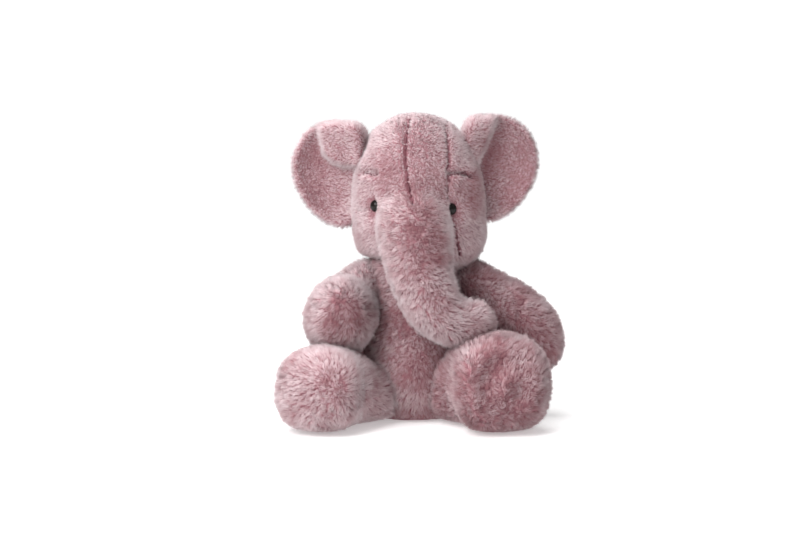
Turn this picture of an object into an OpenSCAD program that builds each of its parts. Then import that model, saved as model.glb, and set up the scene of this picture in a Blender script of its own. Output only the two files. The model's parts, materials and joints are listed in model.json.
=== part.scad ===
// A sitting stuffed elephant, sewn from plush panels around loose fibre stuffing.
// Millimetres. +Z is up, the face looks along -Y, and the elephant's own left is +X.
// The origin is on the floor, at the middle of the seat that the toy sits on.

/* [Head] */
// Width of the head across the ears' roots
head_w = 96; // [80:1:116]
// Depth of the head, face to nape
head_d = 98; // [80:1:120]
// Height of the head, chin to crown
head_h = 104; // [85:1:125]
// How far the head is turned from straight ahead, in degrees
head_turn = 4; // [0:1:8]
// Height of the gap between the torso's top and the chin
neck_gap = 2; // [1:0.5:6]
// Radius of the ball that the head nods on
neck_ball_r = 15; // [12:1:17]

/* [Torso] */
// Width of the belly
torso_w = 80; // [66:1:96]
// Depth of the belly
torso_d = 78; // [65:1:94]
// Height of the torso, seat to neck
torso_h = 120; // [100:1:144]
// Radius of the neck stem in the torso
neck_stem_r = 12; // [9:1:14]

/* [Trunk] */
// Radius of the trunk where it leaves the face
trunk_root_r = 24; // [20:1:29]
// Radius of the trunk near its tip
trunk_tip_r = 15; // [11:1:18]
// Height from the trunk's root down to its lowest bend
trunk_drop = 71; // [58:1:84]
// How far the trunk's tip curls to the elephant's left
trunk_curl = 37; // [30:1:45]

/* [Ears] */
// Height of an ear
ear_h = 75; // [62:1:90]
// Width of an ear, root to rim
ear_w = 48; // [40:1:58]
// Thickness of one of an ear's two layers
ear_layer_t = 4.5; // [3:0.5:7]

/* [Arms] */
// Radius of the thickest part of an arm
arm_r = 24; // [19:1:29]
// Radius of an arm where it is sewn to the torso
arm_root_r = 15; // [12:1:17]
// Reach of an arm along its middle line
arm_len = 74; // [62:1:90]

/* [Legs] */
// Half of a foot's width
leg_r = 32; // [27:1:38]
// Height of the left foot
foot_left_h = 64; // [54:1:77]
// Height of the right foot, pressed down by the arm that lies on it
foot_right_h = 54; // [45:1:65]
// Reach of a leg along its middle line
leg_len = 76; // [62:1:92]

/* [Tail] */
// Length of the tail
tail_len = 34; // [28:1:42]
// Radius of the tail
tail_r = 5; // [4:0.5:7]

/* [Eyes] */
// Radius of an eye bead
eye_r = 4.6; // [4:0.1:5.6]
// Radius of the shank behind the bead
shank_r = 1.6; // [1.2:0.1:2]
// Length of the shank
shank_len = 9; // [7:0.5:12]
// Radius of the washer that locks the shank
washer_r = 5; // [4.4:0.2:6]

/* [Fabric and filling] */
// Thickness of the plush fabric with the root of its pile
skin_t = 1.6; // [1.2:0.1:2.2]
// Free space between the fabric and its filling
fill_gap = 0.3; // [0.2:0.1:0.5]
// Free space between pieces sewn to each other
seam_gap = 2; // [1.5:0.5:4]
// Free space between furry pieces that rest on each other
rest_gap = 3; // [2:0.5:6]
// Radius of the pouch of pellets in the seat
pouch_r = 25; // [20:1:28]
// Height of the pouch
pouch_h = 26; // [20:1:32]
// Thickness of the pouch's cloth
pouch_t = 0.8; // [0.5:0.1:1.2]
// Radius of a pellet
pellet_r = 3; // [2.4:0.1:3.5]

/* [Hidden] */

PLUSH = [0.74, 0.56, 0.59];
PLUSH_DARK = [0.66, 0.47, 0.51];
FIBRE = [0.95, 0.94, 0.92];
THREAD = [0.55, 0.36, 0.40];

SIDES = 20;             // flat sides round every stuffed piece
HALF = SIDES / 2;
QUARTER = SIDES / 4;
end_bulge = 0.35;       // how far a rounded end stands past its last ring, as a share of its radius
$fn = 32;
UP = [0, 0, 1];
FRONT = [0, -1, 0];
BACK = [0, 1, 0];

// ---- Stuffed pieces: rings round a path, each row [x, y, z, half width, half height] ----

function unit(v) = v / norm(v);
function place(row) = [row[0], row[1], row[2]];
function along(rows, i) =
    unit(place(rows[min(i + 1, len(rows) - 1)]) - place(rows[max(i - 1, 0)]));

// A point of ring i at side k, inset from the outside. Nothing goes below the floor.
function ring_point(rows, up, i, k, inset) =
    let (
        t = along(rows, i),
        side = unit(cross(t, up)),
        top = cross(side, t),
        a = 360 * k / SIDES,
        p = place(rows[i]) + side * cos(a) * (rows[i][3] - inset)
            + top * sin(a) * (rows[i][4] - inset)
    )
    [p[0], p[1], max(p[2], inset)];

// The middle of the end of a piece, a little past ring i, or before it with way -1.
function end_point(rows, i, inset, bulge, way = 1) =
    let (p = place(rows[i]) + along(rows, i) * way * (rows[i][3] * bulge - (bulge > 0 ? inset : 0)))
    [p[0], p[1], max(p[2], inset)];

// A sewn panel: the sheet of fabric between rings i0 and i1 and sides k0 and k1.
// With tip it runs on over the rounded end.
module panel(rows, up, i0, i1, k0, k1, tip = false, bulge = end_bulge) {
    full = k1 - k0 == SIDES;
    m = full ? SIDES : k1 - k0 + 1;      // points in a row
    n = i1 - i0 + 1;                     // rows
    inner = n * m;                       // index of the first inner point
    apex = 2 * n * m;                    // index of the outer apex, and the inner one after it
    points = concat(
        [for (s = [0, skin_t], i = [i0 : i1], k = [0 : m - 1]) ring_point(rows, up, i, k0 + k, s)],
        [for (s = [0, skin_t]) end_point(rows, i1, s, bulge)]
    );
    function at(i, k) = i * m + (k % m);
    last = full ? m - 1 : m - 2;
    sheet = [for (i = [0 : n - 2], k = [0 : last])
        for (f = [[at(i, k), at(i + 1, k), at(i + 1, k + 1)], [at(i, k), at(i + 1, k + 1), at(i, k + 1)]]) f];
    fan = tip ? [for (k = [0 : last]) [at(n - 1, k), apex, at(n - 1, k + 1)]] : [];
    fan_in = tip ? [for (k = [0 : last])
        [inner + at(n - 1, k + 1), apex + 1, inner + at(n - 1, k)]] : [];
    function wall(a, b) = [[a, b, inner + b], [a, inner + b, inner + a]];
    root = [for (k = [0 : last]) for (f = wall(at(0, k), at(0, k + 1))) f];
    far = tip ? [] : [for (k = [0 : last]) for (f = wall(at(n - 1, k + 1), at(n - 1, k))) f];
    near_side = full ? [] : [for (i = [0 : n - 2]) for (f = wall(at(i + 1, 0), at(i, 0))) f];
    far_side = full ? [] : [for (i = [0 : n - 2])
        for (f = wall(at(i, m - 1), at(i + 1, m - 1))) f];
    function tip_wall(a) = [[a, inner + a, apex + 1], [a, apex + 1, apex]];
    function turned(f) = [f[2], f[1], f[0]];
    tip_sides = tip && !full
        ? concat(tip_wall(at(n - 1, 0)), [for (f = tip_wall(at(n - 1, m - 1))) turned(f)]) : [];
    polyhedron(points, concat(sheet, fan, fan_in, root, far, near_side, far_side, tip_sides,
        [for (f = sheet) [inner + f[2], inner + f[1], inner + f[0]]]));
}

// A solid wad of stuffing that fills the rings, with rounded ends.
module filling(rows, up, root_bulge = 0, bulge = end_bulge) {
    n = len(rows);
    inset = skin_t + fill_gap;
    points = concat(
        [for (i = [0 : n - 1], k = [0 : SIDES - 1]) ring_point(rows, up, i, k, inset)],
        [end_point(rows, 0, inset, root_bulge, -1), end_point(rows, n - 1, inset, bulge)]
    );
    function at(i, k) = i * SIDES + (k % SIDES);
    polyhedron(points, concat(
        [for (i = [0 : n - 2], k = [0 : SIDES - 1]) for (f = [
            [at(i, k), at(i + 1, k), at(i + 1, k + 1)], [at(i, k), at(i + 1, k + 1), at(i, k + 1)]]) f],
        [for (k = [0 : SIDES - 1]) [at(0, k + 1), n * SIDES, at(0, k)]],
        [for (k = [0 : SIDES - 1]) [at(n - 1, k), n * SIDES + 1, at(n - 1, k + 1)]]
    ));
}

module ellipsoid(size) {
    scale(size) sphere(1, $fn = 48);
}

// ---- Torso ----

// Share of the full width at height share h: an egg, widest below its middle.
torso_widest = 0.38;
function egg(h) = h < torso_widest
    ? sqrt(1 - pow((torso_widest - h) / (torso_widest + 0.13), 2))
    : sqrt(1 - pow((h - torso_widest) / (1 - torso_widest + 0.20), 2));

torso_rows = [for (h = [0, 0.04, 0.11, 0.22, 0.36, 0.52, 0.68, 0.82, 0.93, 1])
    [0, 0, torso_h * h, torso_w / 2 * egg(h), torso_d / 2 * egg(h)]];
torso_top = len(torso_rows) - 1;
function torso_half_w(z) = torso_w / 2 * egg(z / torso_h);
function torso_half_d(z) = torso_d / 2 * egg(z / torso_h);

pouch_z = skin_t + fill_gap * 2 + pouch_h / 2;
stem_depth = 20;        // how far the neck stem goes down into the torso

module torso_panel(k0, k1) {
    color(PLUSH) panel(torso_rows, FRONT, 0, torso_top, k0, k1);
}

module seat_panel() {
    edge = [for (k = [0 : SIDES - 1]) let (p = ring_point(torso_rows, FRONT, 0, k, skin_t + fill_gap))
        [p[0], p[1]]];
    color(PLUSH_DARK) linear_extrude(skin_t) polygon(edge);
}

module torso_filling() {
    color(FIBRE) difference() {
        filling(torso_rows, FRONT, bulge = 0);
        translate([0, 0, pouch_z]) ellipsoid([pouch_r + fill_gap, pouch_r + fill_gap, pouch_h / 2 + fill_gap]);
        translate([0, 0, torso_h - stem_depth - fill_gap]) cylinder(h = torso_h, r = neck_stem_r + fill_gap);
    }
}

module pellet_pouch() {
    color([0.86, 0.84, 0.80]) translate([0, 0, pouch_z]) difference() {
        ellipsoid([pouch_r, pouch_r, pouch_h / 2]);
        ellipsoid([pouch_r - pouch_t, pouch_r - pouch_t, pouch_h / 2 - pouch_t]);
    }
}

// Pellets lie in layers on a square grid, wherever one fits inside the pouch.
module pellets() {
    step = 2 * pellet_r + fill_gap * 2;
    room = [pouch_r, pouch_r, pouch_h / 2] - [1, 1, 1] * (pouch_t + pellet_r + fill_gap * 2);
    count = floor(room[0] / step);
    layers = floor(room[2] / step);
    color([0.90, 0.88, 0.84]) translate([0, 0, pouch_z])
        for (i = [-count : count], j = [-count : count], l = [-layers : layers]) {
            p = [i, j, l] * step;
            if (norm([p[0] / room[0], p[1] / room[1], p[2] / room[2]]) <= 1)
                translate(p) sphere(pellet_r);
        }
}

// ---- Neck: a stuffed stem that turns in the torso and ends in a ball inside the chin ----

nod_z = torso_h + neck_gap + neck_ball_r / 2;

module neck_filling() {
    color(FIBRE) union() {
        translate([0, 0, nod_z]) sphere(neck_ball_r);
        translate([0, 0, torso_h - stem_depth]) cylinder(h = nod_z - torso_h + stem_depth, r = neck_stem_r);
    }
}

// ---- Head: rings round the ear-to-ear axis, so its seams run from face over crown to nape ----

head_z = torso_h + neck_gap + head_h / 2;
ring_step = 16;         // degrees between the head's rings
head_rings = 11;
head_bulge = 0.09;
head_rows = [for (i = [0 : head_rings - 1]) let (a = ring_step * (i - (head_rings - 1) / 2))
    [head_w / 2 * sin(a), 0, head_z, head_d / 2 * cos(a), head_h / 2 * cos(a)]];
seam_ring = 7;          // the ring that the side seam follows, 2 past the middle one
seam_x = head_rows[seam_ring][0];
function flipped(rows) = [for (i = [len(rows) - 1 : -1 : 0]) rows[i]];

// Everything on the head is drawn looking straight ahead, then turned.
module on_head() {
    rotate([0, 0, -head_turn]) children();
}

// Depth of the head's outside, forward of its middle, at x and z.
function face_y(x, z) = -head_d / 2
    * sqrt(max(0.05, 1 - pow(2 * x / head_w, 2) - pow(2 * (z - head_z) / head_h, 2)));

socket_gap = 0.5;
trunk_socket_gap = 2.5;
eye_z = head_z - 0.13 * head_h;
eye_x = max(seam_x + 3, trunk_root_r + 4.4);    // clear of the seam and of the trunk
brow_z = head_z + 0.13 * head_h;
root_y = -head_d * 0.37;            // the trunk swings about its root ball's middle
root_z = head_z - head_h * 0.23;

// How far the face falls back at x and z, in degrees.
function face_slope(x, z) = atan((face_y(x + 1, z) - face_y(x - 1, z)) / 2);
eye_turn = face_slope(eye_x, eye_z) * 0.66;     // the beads look forward more than the face does there

// Points along a line from the eye into the head.
module on_eye_axis(side) {
    at = [side * eye_x, face_y(eye_x, eye_z), eye_z];
    translate(at) rotate([0, 0, side * eye_turn]) rotate([90, 0, 0]) children();
}

// The hollow in the face that the trunk's root swings in.
module trunk_socket() {
    translate([0, root_y, root_z]) sphere(trunk_root_r + trunk_socket_gap);
}

module head_holes(sides) {
    translate([0, 0, nod_z]) sphere(neck_ball_r + socket_gap);
    translate([0, 0, nod_z - 2 * neck_ball_r])
        cylinder(h = 2 * neck_ball_r, r1 = 2 * neck_ball_r, r2 = neck_ball_r - 1);
    trunk_socket();
    for (side = sides) on_eye_axis(side)
        translate([0, 0, -shank_len]) cylinder(h = 2 * shank_len, r = shank_r + fill_gap);
}

module head_side(side) {
    rows = side > 0 ? head_rows : flipped(head_rows);
    color(PLUSH) on_head() difference() {
        panel(rows, UP, seam_ring, head_rings - 1, 0, SIDES, tip = true, bulge = head_bulge);
        trunk_socket();
        on_eye_axis(side) translate([0, 0, -shank_len]) cylinder(h = 2 * shank_len, r = shank_r + fill_gap);
    }
}

module forehead(side) {
    rows = side > 0 ? head_rows : flipped(head_rows);
    color(PLUSH) on_head() difference() {
        panel(rows, UP, (head_rings - 1) / 2, seam_ring, 0, SIDES);
        head_holes([side]);
    }
}

module head_filling() {
    color(FIBRE) on_head() difference() {
        filling(head_rows, UP, root_bulge = head_bulge, bulge = head_bulge);
        head_holes([]);
        for (side = [-1, 1]) on_eye_axis(side) translate([0, 0, -shank_len - 2])
            cylinder(h = 2 * shank_len, r = washer_r + fill_gap);
    }
}

// The bead's flat back rests on the fabric, and its shank goes through to the washer.
bead_lift = 1;
washer_depth = skin_t + 2.8;
washer_t = 1.4;

module eye(side) {
    color([0.06, 0.05, 0.05]) on_head() on_eye_axis(side) union() {
        intersection() {
            translate([0, 0, bead_lift]) sphere(eye_r);
            translate([0, 0, bead_lift]) cylinder(h = eye_r, r = eye_r);
        }
        translate([0, 0, -shank_len + bead_lift]) cylinder(h = shank_len, r = shank_r);
    }
}

module eye_washer(side) {
    color([0.92, 0.92, 0.90]) on_head() on_eye_axis(side) translate([0, 0, -washer_depth - washer_t])
        difference() {
            cylinder(h = washer_t, r = washer_r);
            translate([0, 0, -1]) cylinder(h = washer_t + 2, r = shank_r);
        }
}

thread_r = 0.45;
brow_len = 5;

// A short stitch that lies along the face's slope.
module brow_stitch(side) {
    x = seam_x + 9;
    color(THREAD) on_head() translate([side * x, face_y(x, brow_z), brow_z])
        rotate([0, 0, side * face_slope(x, brow_z)]) translate([0, -thread_r - fill_gap, 0])
            rotate([0, 90, 0]) cylinder(h = brow_len, r = thread_r, center = true);
}

// ---- Trunk: rings in the head's own turned frame, hanging clear of the belly ----

trunk_reach = torso_d / 2 + rest_gap + trunk_tip_r + 8 + root_y;
trunk_rows = [
    for (s = [
        // share of the curl, of the reach, of the drop, and of the way from root to tip radius
        [0.00, 0.00, 0.00, 0.00], [0.04, 0.62, 0.16, 0.02], [0.14, 0.97, 0.34, 0.14],
        [0.27, 1.10, 0.54, 0.36], [0.44, 1.08, 0.75, 0.58], [0.64, 1.00, 0.92, 0.78],
        [0.86, 0.88, 1.00, 0.92], [1.06, 0.76, 0.97, 1.00], [1.18, 0.68, 0.92, 1.15]
    ])
    let (r = trunk_root_r - 1 + (trunk_tip_r - trunk_root_r + 1) * s[3])
    [trunk_curl * s[0], root_y - trunk_reach * s[1], root_z - trunk_drop * s[2], r, r]
];
tip_ring = 7;           // the small end panel starts here
root_round = 0.5;       // the filling's rounded root, as a share of its radius

module trunk_strip(k0, k1) {
    color(PLUSH) on_head() panel(trunk_rows, BACK, 0, tip_ring, k0, k1);
}

module trunk_tip() {
    color(PLUSH) on_head()
        panel(trunk_rows, BACK, tip_ring, len(trunk_rows) - 1, 0, SIDES, tip = true);
}

module trunk_filling() {
    color(FIBRE) on_head() filling(trunk_rows, BACK, root_bulge = root_round);
}

// ---- Ears: two flat layers sewn together, standing off the head's side ----

ear_y = 8;
ear_lean = 12;          // how far the rim is turned to the back, in degrees
ear_root_x = head_w / 2 * 0.92;
ear_gap = 1;            // extra room between an ear and the head, so that the ear can turn

module ear_outline() {
    hull() {
        translate([ear_w - ear_h * 0.40, ear_h * 0.10]) circle(ear_h * 0.40);
        translate([ear_w * 0.34, -ear_h * 0.20]) circle(ear_h * 0.30);
        translate([0, ear_h * 0.10]) circle(ear_h * 0.28);
    }
}

// The root edge is cut to the head's own curve, with room to turn.
module ear_layer(side, layer) {
    room = seam_gap + ear_gap;
    lift = head_z + head_h * (side > 0 ? 0.13 : 0.08);
    color(PLUSH) on_head() difference() {
        translate([side * ear_root_x, ear_y, lift]) mirror([side > 0 ? 0 : 1, 0, 0])
            rotate([0, 0, ear_lean]) translate([0, layer * (ear_layer_t + fill_gap), 0])
                rotate([90, 0, 0]) linear_extrude(ear_layer_t) intersection() {
                    ear_outline();
                    translate([0, -ear_h]) square([2 * ear_w, 2 * ear_h]);
                }
        translate([0, 0, head_z])
            ellipsoid([head_w / 2 + room, head_d / 2 + room, head_h / 2 + room]);
    }
}

// ---- Arms ----

shoulder_z = torso_h * 0.85;
shoulder_x = torso_half_w(shoulder_z - arm_root_r) + seam_gap;

// The right arm comes forward and lies on the right foot.
hand_z = foot_right_h + rest_gap + arm_r;
seam_half_t = 4;        // half the thickness of a limb where it is sewn flat to the torso
shoulder_right_x = torso_half_w(min(shoulder_z - arm_root_r, hand_z)) + seam_gap;
function arm_right_row(s, r, z) = [-shoulder_right_x - arm_r * s[0], -arm_len * s[1], z, r, r];
arm_right_rows = [
    [-shoulder_right_x, -arm_len * 0.04, shoulder_z, arm_root_r, arm_root_r],
    arm_right_row([0.40, 0.04], arm_root_r + (arm_r - arm_root_r) * 0.50, shoulder_z),
    arm_right_row([0.86, 0.22], arm_r * 0.93, (shoulder_z + hand_z) / 2 + 1),
    arm_right_row([0.98, 0.44], arm_r, hand_z + 2),
    arm_right_row([0.92, 0.62], arm_r * 0.97, hand_z),
    arm_right_row([0.86, 0.76], arm_r * 0.74, hand_z - 1),
    arm_right_row([0.83, 0.84], arm_r * 0.42, hand_z - 2)
];

// The left arm hangs out to the side.
function arm_left_row(s, r) =
    [shoulder_x + arm_len * s[0], -arm_len * s[1], shoulder_z - arm_len * s[2], r, r];
arm_left_rows = [
    [shoulder_x, -arm_len * 0.04, shoulder_z, arm_root_r, seam_half_t],
    arm_left_row([0.14, 0.04, 0.00], arm_root_r + (arm_r - arm_root_r) * 0.50),
    arm_left_row([0.33, 0.10, 0.16], arm_r * 0.93),
    arm_left_row([0.50, 0.17, 0.36], arm_r),
    arm_left_row([0.61, 0.24, 0.56], arm_r * 0.97),
    arm_left_row([0.66, 0.28, 0.71], arm_r * 0.76),
    arm_left_row([0.68, 0.30, 0.80], arm_r * 0.42)
];
arm_end = len(arm_left_rows) - 1;

module arm_panel(rows, k0) {
    color(PLUSH) panel(rows, UP, 0, arm_end, k0, k0 + HALF, tip = true);
}

module limb_filling(rows) {
    color(FIBRE) filling(rows, UP);
}

// ---- Legs: from the front of the seat forward and out, flat where they lie on the floor ----

hip_offset = 12;        // distance from a leg's middle line to the torso's upright axis
leg_left_out = 28;      // degrees between each leg and straight ahead
leg_right_out = 34;
sag = 3;                // how much of a leg its own weight flattens on the floor

function leg_rows(side, height, out) = let (
        hip = max(torso_w, torso_d) / 2 + seam_gap,
        dir = [side * sin(out), -cos(out)],
        aside = [side * cos(out), sin(out)] * hip_offset
    )
    [for (s = [
        // share of the leg's length, half width, half height and middle's height: a narrow upright root
        [0.00, 0.20, 0.78, 0.78], [0.20, 0.60, 0.76, 0.76], [0.42, 0.76, 0.86, 0.87], [0.66, 1.00, 1.00, 1.00],
        [0.82, 0.93, 0.95, 0.98], [0.93, 0.70, 0.72, 0.96], [0.98, 0.42, 0.43, 0.95]
    ])
    let (p = aside + dir * (hip + leg_len * s[0]))
    [p[0], p[1], height / 2 * s[3] - sag / 2, leg_r * s[1], height / 2 * s[2] + sag / 2]];

leg_left_rows = leg_rows(1, foot_left_h, leg_left_out);
leg_right_rows = leg_rows(-1, foot_right_h, leg_right_out);
sole_ring = 4;          // the round sole panel starts here
leg_end = len(leg_left_rows) - 1;

module leg_panel(rows, k0) {
    color(PLUSH) panel(rows, UP, 0, sole_ring, k0, k0 + HALF);
}

module foot_sole(rows) {
    color(PLUSH) panel(rows, UP, sole_ring, leg_end, 0, SIDES, tip = true);
}

// ---- Tail, back seam and label ----

tail_z = 30;
tail_y = torso_half_d(tail_z) + seam_gap;
tail_rows = [for (s = [[0, 0, 0.4], [0.15, 0.05, 1], [0.35, 0.14, 1], [0.6, 0.38, 0.95], [0.85, 0.66, 0.85], [1, 0.86, 0.6]])
    [0, tail_y + tail_len * 0.62 * s[0], tail_z - tail_len * 0.7 * s[1], tail_r * s[2], tail_r * s[2]]];

module tail_skin() {
    color(PLUSH) panel(tail_rows, UP, 0, len(tail_rows) - 1, 0, SIDES, tip = true);
}

module tail_filling() {
    color(FIBRE) filling(tail_rows, UP);
}

stitches = 6;
stitch_len = 4;

// Ladder stitches that close the back after stuffing.
module closing_stitches() {
    color(THREAD) for (i = [0 : stitches - 1]) {
        z = torso_h * 0.48 + i * stitch_len * 1.25;
        translate([0, torso_half_d(z) + thread_r + fill_gap, z])
            rotate([0, 90, 0]) cylinder(h = stitch_len, r = thread_r, center = true);
    }
}

label_w = 16;
label_len = 18;
label_t = 0.6;
label_z = 14;

// A blank folded ribbon in the side seam of the seat.
module care_label() {
    fold_r = label_t * 1.4;
    color([0.94, 0.93, 0.90]) translate([torso_half_w(label_z + label_w / 2) + fill_gap, 0, label_z])
        linear_extrude(label_w, center = true) difference() {
            hull() {
                translate([label_t, 0]) square([label_t * 2, label_t * 2], center = true);
                translate([label_len, 0]) circle(fold_r);
            }
            hull() {
                translate([label_t * 4, 0]) square([label_t, label_t * 0.3], center = true);
                translate([label_len, 0]) circle(fold_r - label_t);
            }
        }
}

// ---- What is drawn ----

torso_panel(0, HALF);  // torso_front
torso_panel(HALF + QUARTER, SIDES);  // torso_back_left
torso_panel(HALF, HALF + QUARTER);  // torso_back_right
seat_panel();
torso_filling();
pellet_pouch();
pellets();
closing_stitches();
care_label();
neck_filling();
head_side(1);  // head_side_left
head_side(-1);  // head_side_right
forehead(1);  // forehead_left
forehead(-1);  // forehead_right
head_filling();
eye(1);  // eye_left
eye(-1);  // eye_right
eye_washer(1);  // eye_washer_left
eye_washer(-1);  // eye_washer_right
brow_stitch(1);  // brow_stitch_left
brow_stitch(-1);  // brow_stitch_right
trunk_strip(HALF, SIDES);  // trunk_front
trunk_strip(0, HALF);  // trunk_back
trunk_tip();
trunk_filling();
ear_layer(1, 0);  // ear_left_front
ear_layer(1, 1);  // ear_left_back
ear_layer(-1, 0);  // ear_right_front
ear_layer(-1, 1);  // ear_right_back
arm_panel(arm_left_rows, 0);  // arm_left_outer
arm_panel(arm_left_rows, HALF);  // arm_left_inner
limb_filling(arm_left_rows);  // arm_left_filling
arm_panel(arm_right_rows, 0);  // arm_right_outer
arm_panel(arm_right_rows, HALF);  // arm_right_inner
limb_filling(arm_right_rows);  // arm_right_filling
leg_panel(leg_left_rows, 0);  // leg_left_upper
leg_panel(leg_left_rows, HALF);  // leg_left_under
foot_sole(leg_left_rows);  // foot_left_sole
limb_filling(leg_left_rows);  // leg_left_filling
leg_panel(leg_right_rows, 0);  // leg_right_upper
leg_panel(leg_right_rows, HALF);  // leg_right_under
foot_sole(leg_right_rows);  // foot_right_sole
limb_filling(leg_right_rows);  // leg_right_filling
tail_skin();
tail_filling();
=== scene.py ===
"""The sitting stuffed elephant: stuffed plush pieces, their deep pile, bead eyes, label and stitches."""
import json
import math

import bmesh
import bpy
import numpy as np
from mathutils import Matrix, Vector, noise
from mathutils.bvhtree import BVHTree
from mathutils.kdtree import KDTree


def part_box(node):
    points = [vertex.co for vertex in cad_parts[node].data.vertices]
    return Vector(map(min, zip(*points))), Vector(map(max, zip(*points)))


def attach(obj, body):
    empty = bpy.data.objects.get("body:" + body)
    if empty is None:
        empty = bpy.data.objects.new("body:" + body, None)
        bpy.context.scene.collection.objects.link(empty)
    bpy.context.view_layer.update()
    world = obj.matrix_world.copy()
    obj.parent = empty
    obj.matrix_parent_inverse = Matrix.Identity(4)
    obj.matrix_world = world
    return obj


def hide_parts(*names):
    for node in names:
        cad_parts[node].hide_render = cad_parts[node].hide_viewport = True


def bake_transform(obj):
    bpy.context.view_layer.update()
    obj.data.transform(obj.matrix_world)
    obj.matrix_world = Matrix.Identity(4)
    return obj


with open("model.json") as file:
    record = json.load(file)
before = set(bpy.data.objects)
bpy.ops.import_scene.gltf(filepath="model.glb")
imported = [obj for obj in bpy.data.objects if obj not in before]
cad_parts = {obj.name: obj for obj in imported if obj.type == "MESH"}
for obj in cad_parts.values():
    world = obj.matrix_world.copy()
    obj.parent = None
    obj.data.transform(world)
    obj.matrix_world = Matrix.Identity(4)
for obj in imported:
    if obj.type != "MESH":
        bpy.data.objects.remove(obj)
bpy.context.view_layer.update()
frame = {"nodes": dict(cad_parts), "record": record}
MM = 0.001
scene = bpy.context.scene

HAIRS = 2.9e6                # hairs on a square metre of skin
HAIR_LENGTH = 5.6 * MM
HAIR_WIDTH = 0.42 * MM


# ---------------------------------------------------------------- small helpers

def linear(r, g, b):
    """A display colour, 0 to 255, as the linear colour that a shader takes."""
    out = []
    for c in (r, g, b):
        c = c / 255
        out.append(c / 12.92 if c <= 0.04045 else ((c + 0.055) / 1.055) ** 2.4)
    return (*out, 1.0)


def new_object(name, mesh):
    obj = bpy.data.objects.new(name, mesh)
    scene.collection.objects.link(obj)
    return obj


def mesh_from(name, verts, faces):
    mesh = bpy.data.meshes.new(name)
    mesh.from_pydata([tuple(v) for v in verts], [], [tuple(f) for f in faces])
    mesh.update()
    return mesh


def points_of(mesh):
    co = np.zeros(len(mesh.vertices) * 3)
    mesh.vertices.foreach_get("co", co)
    return co.reshape(-1, 3)


def normals_of(mesh):
    no = np.zeros(len(mesh.vertices) * 3)
    mesh.vertex_normals.foreach_get("vector", no)
    return no.reshape(-1, 3)


def set_points(mesh, co):
    mesh.vertices.foreach_set("co", np.asarray(co, float).ravel())
    mesh.update()


def smoothstep(x, low, high):
    t = np.clip((x - low) / (high - low), 0, 1)
    return t * t * (3 - 2 * t)


def node_centre(*names):
    """The middle and the two corners of the box round some CAD nodes, in metres."""
    lows = np.min([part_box(n)[0] for n in names], axis=0)
    highs = np.max([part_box(n)[1] for n in names], axis=0)
    return (lows + highs) / 2, lows, highs


def noise_at(points, size, seed):
    """Smooth noise from -1 to 1 at each point, with lumps of that size in metres."""
    shift = Vector((seed * 3.7, seed * 1.9, seed * 5.3))
    return np.array([noise.noise(Vector(p) / size + shift) for p in points])


# ---------------------------------------------------------------- stuffed forms

def spline(rows, count):
    """Rows of numbers, run through smoothly (Catmull-Rom) and resampled."""
    rows = np.array(rows, float)
    padded = np.vstack([2 * rows[0] - rows[1], rows, 2 * rows[-1] - rows[-2]])
    out = []
    for u in np.linspace(0, len(rows) - 1, count):
        i = min(int(u), len(rows) - 2)
        t = u - i
        a, b, c, d = padded[i:i + 4]
        out.append(0.5 * ((2 * b) + (c - a) * t + (2 * a - 5 * b + 4 * c - d) * t ** 2
                          + (3 * b - a - 3 * c + d) * t ** 3))
    return np.array(out)


def stuffed_tube(name, rows, up, sides=40, count=44, square=2.0):
    """A closed form round a path. Each row is x, y, z, half width and half height, in mm.
    The width lies across the path and up, and the height lies along up."""
    thinnest = 0.6
    rows = spline(rows, count)
    rows[:, 3:] = np.maximum(rows[:, 3:], thinnest)
    verts, faces = [], []
    angles = np.linspace(0, 2 * np.pi, sides, endpoint=False)
    ca, sa = np.cos(angles), np.sin(angles)
    ca = np.sign(ca) * np.abs(ca) ** (2 / square)
    sa = np.sign(sa) * np.abs(sa) ** (2 / square)
    up = np.array(up, float)
    for i, row in enumerate(rows):
        t = rows[min(i + 1, count - 1), :3] - rows[max(i - 1, 0), :3]
        t /= np.linalg.norm(t)
        side = np.cross(t, up)
        side /= np.linalg.norm(side)
        top = np.cross(side, t)
        for c, s in zip(ca, sa):
            verts.append(row[:3] + side * c * row[3] + top * s * row[4])
    for i in range(count - 1):
        for k in range(sides):
            a, b = i * sides + k, i * sides + (k + 1) % sides
            faces.append((a, a + sides, b + sides, b))
    verts += [rows[0, :3], rows[-1, :3]]
    first, last = len(verts) - 2, len(verts) - 1
    for k in range(sides):
        n = (k + 1) % sides
        faces.append((n, first, k))
        faces.append(((count - 1) * sides + k, last, (count - 1) * sides + n))
    mesh = mesh_from(name, np.array(verts) * MM, faces)
    obj = new_object(name, mesh)
    face_outward(mesh)
    return obj


def face_outward(mesh):
    """Doubles are merged, and every face of a closed mesh is turned outwards."""
    work = bmesh.new()
    work.from_mesh(mesh)
    bmesh.ops.remove_doubles(work, verts=work.verts, dist=1e-6)
    bmesh.ops.recalc_face_normals(work, faces=work.faces)
    work.to_mesh(mesh)
    work.free()
    mesh.update()


def baked(obj):
    """Every modifier of obj is applied to its mesh."""
    graph = bpy.context.evaluated_depsgraph_get()
    graph.update()
    mesh = bpy.data.meshes.new_from_object(obj.evaluated_get(graph))
    obj.modifiers.clear()
    old = obj.data
    obj.data = mesh
    if old.users == 0:
        bpy.data.meshes.remove(old)
    return obj


def joined(name, objs):
    """Several pieces as one object, still overlapping."""
    verts, faces, start = [], [], 0
    for o in objs:
        verts.append(points_of(o.data))
        faces += [[v + start for v in p.vertices] for p in o.data.polygons]
        start += len(o.data.vertices)
        bpy.data.objects.remove(o)
    return new_object(name, mesh_from(name, np.vstack(verts), faces))


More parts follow.
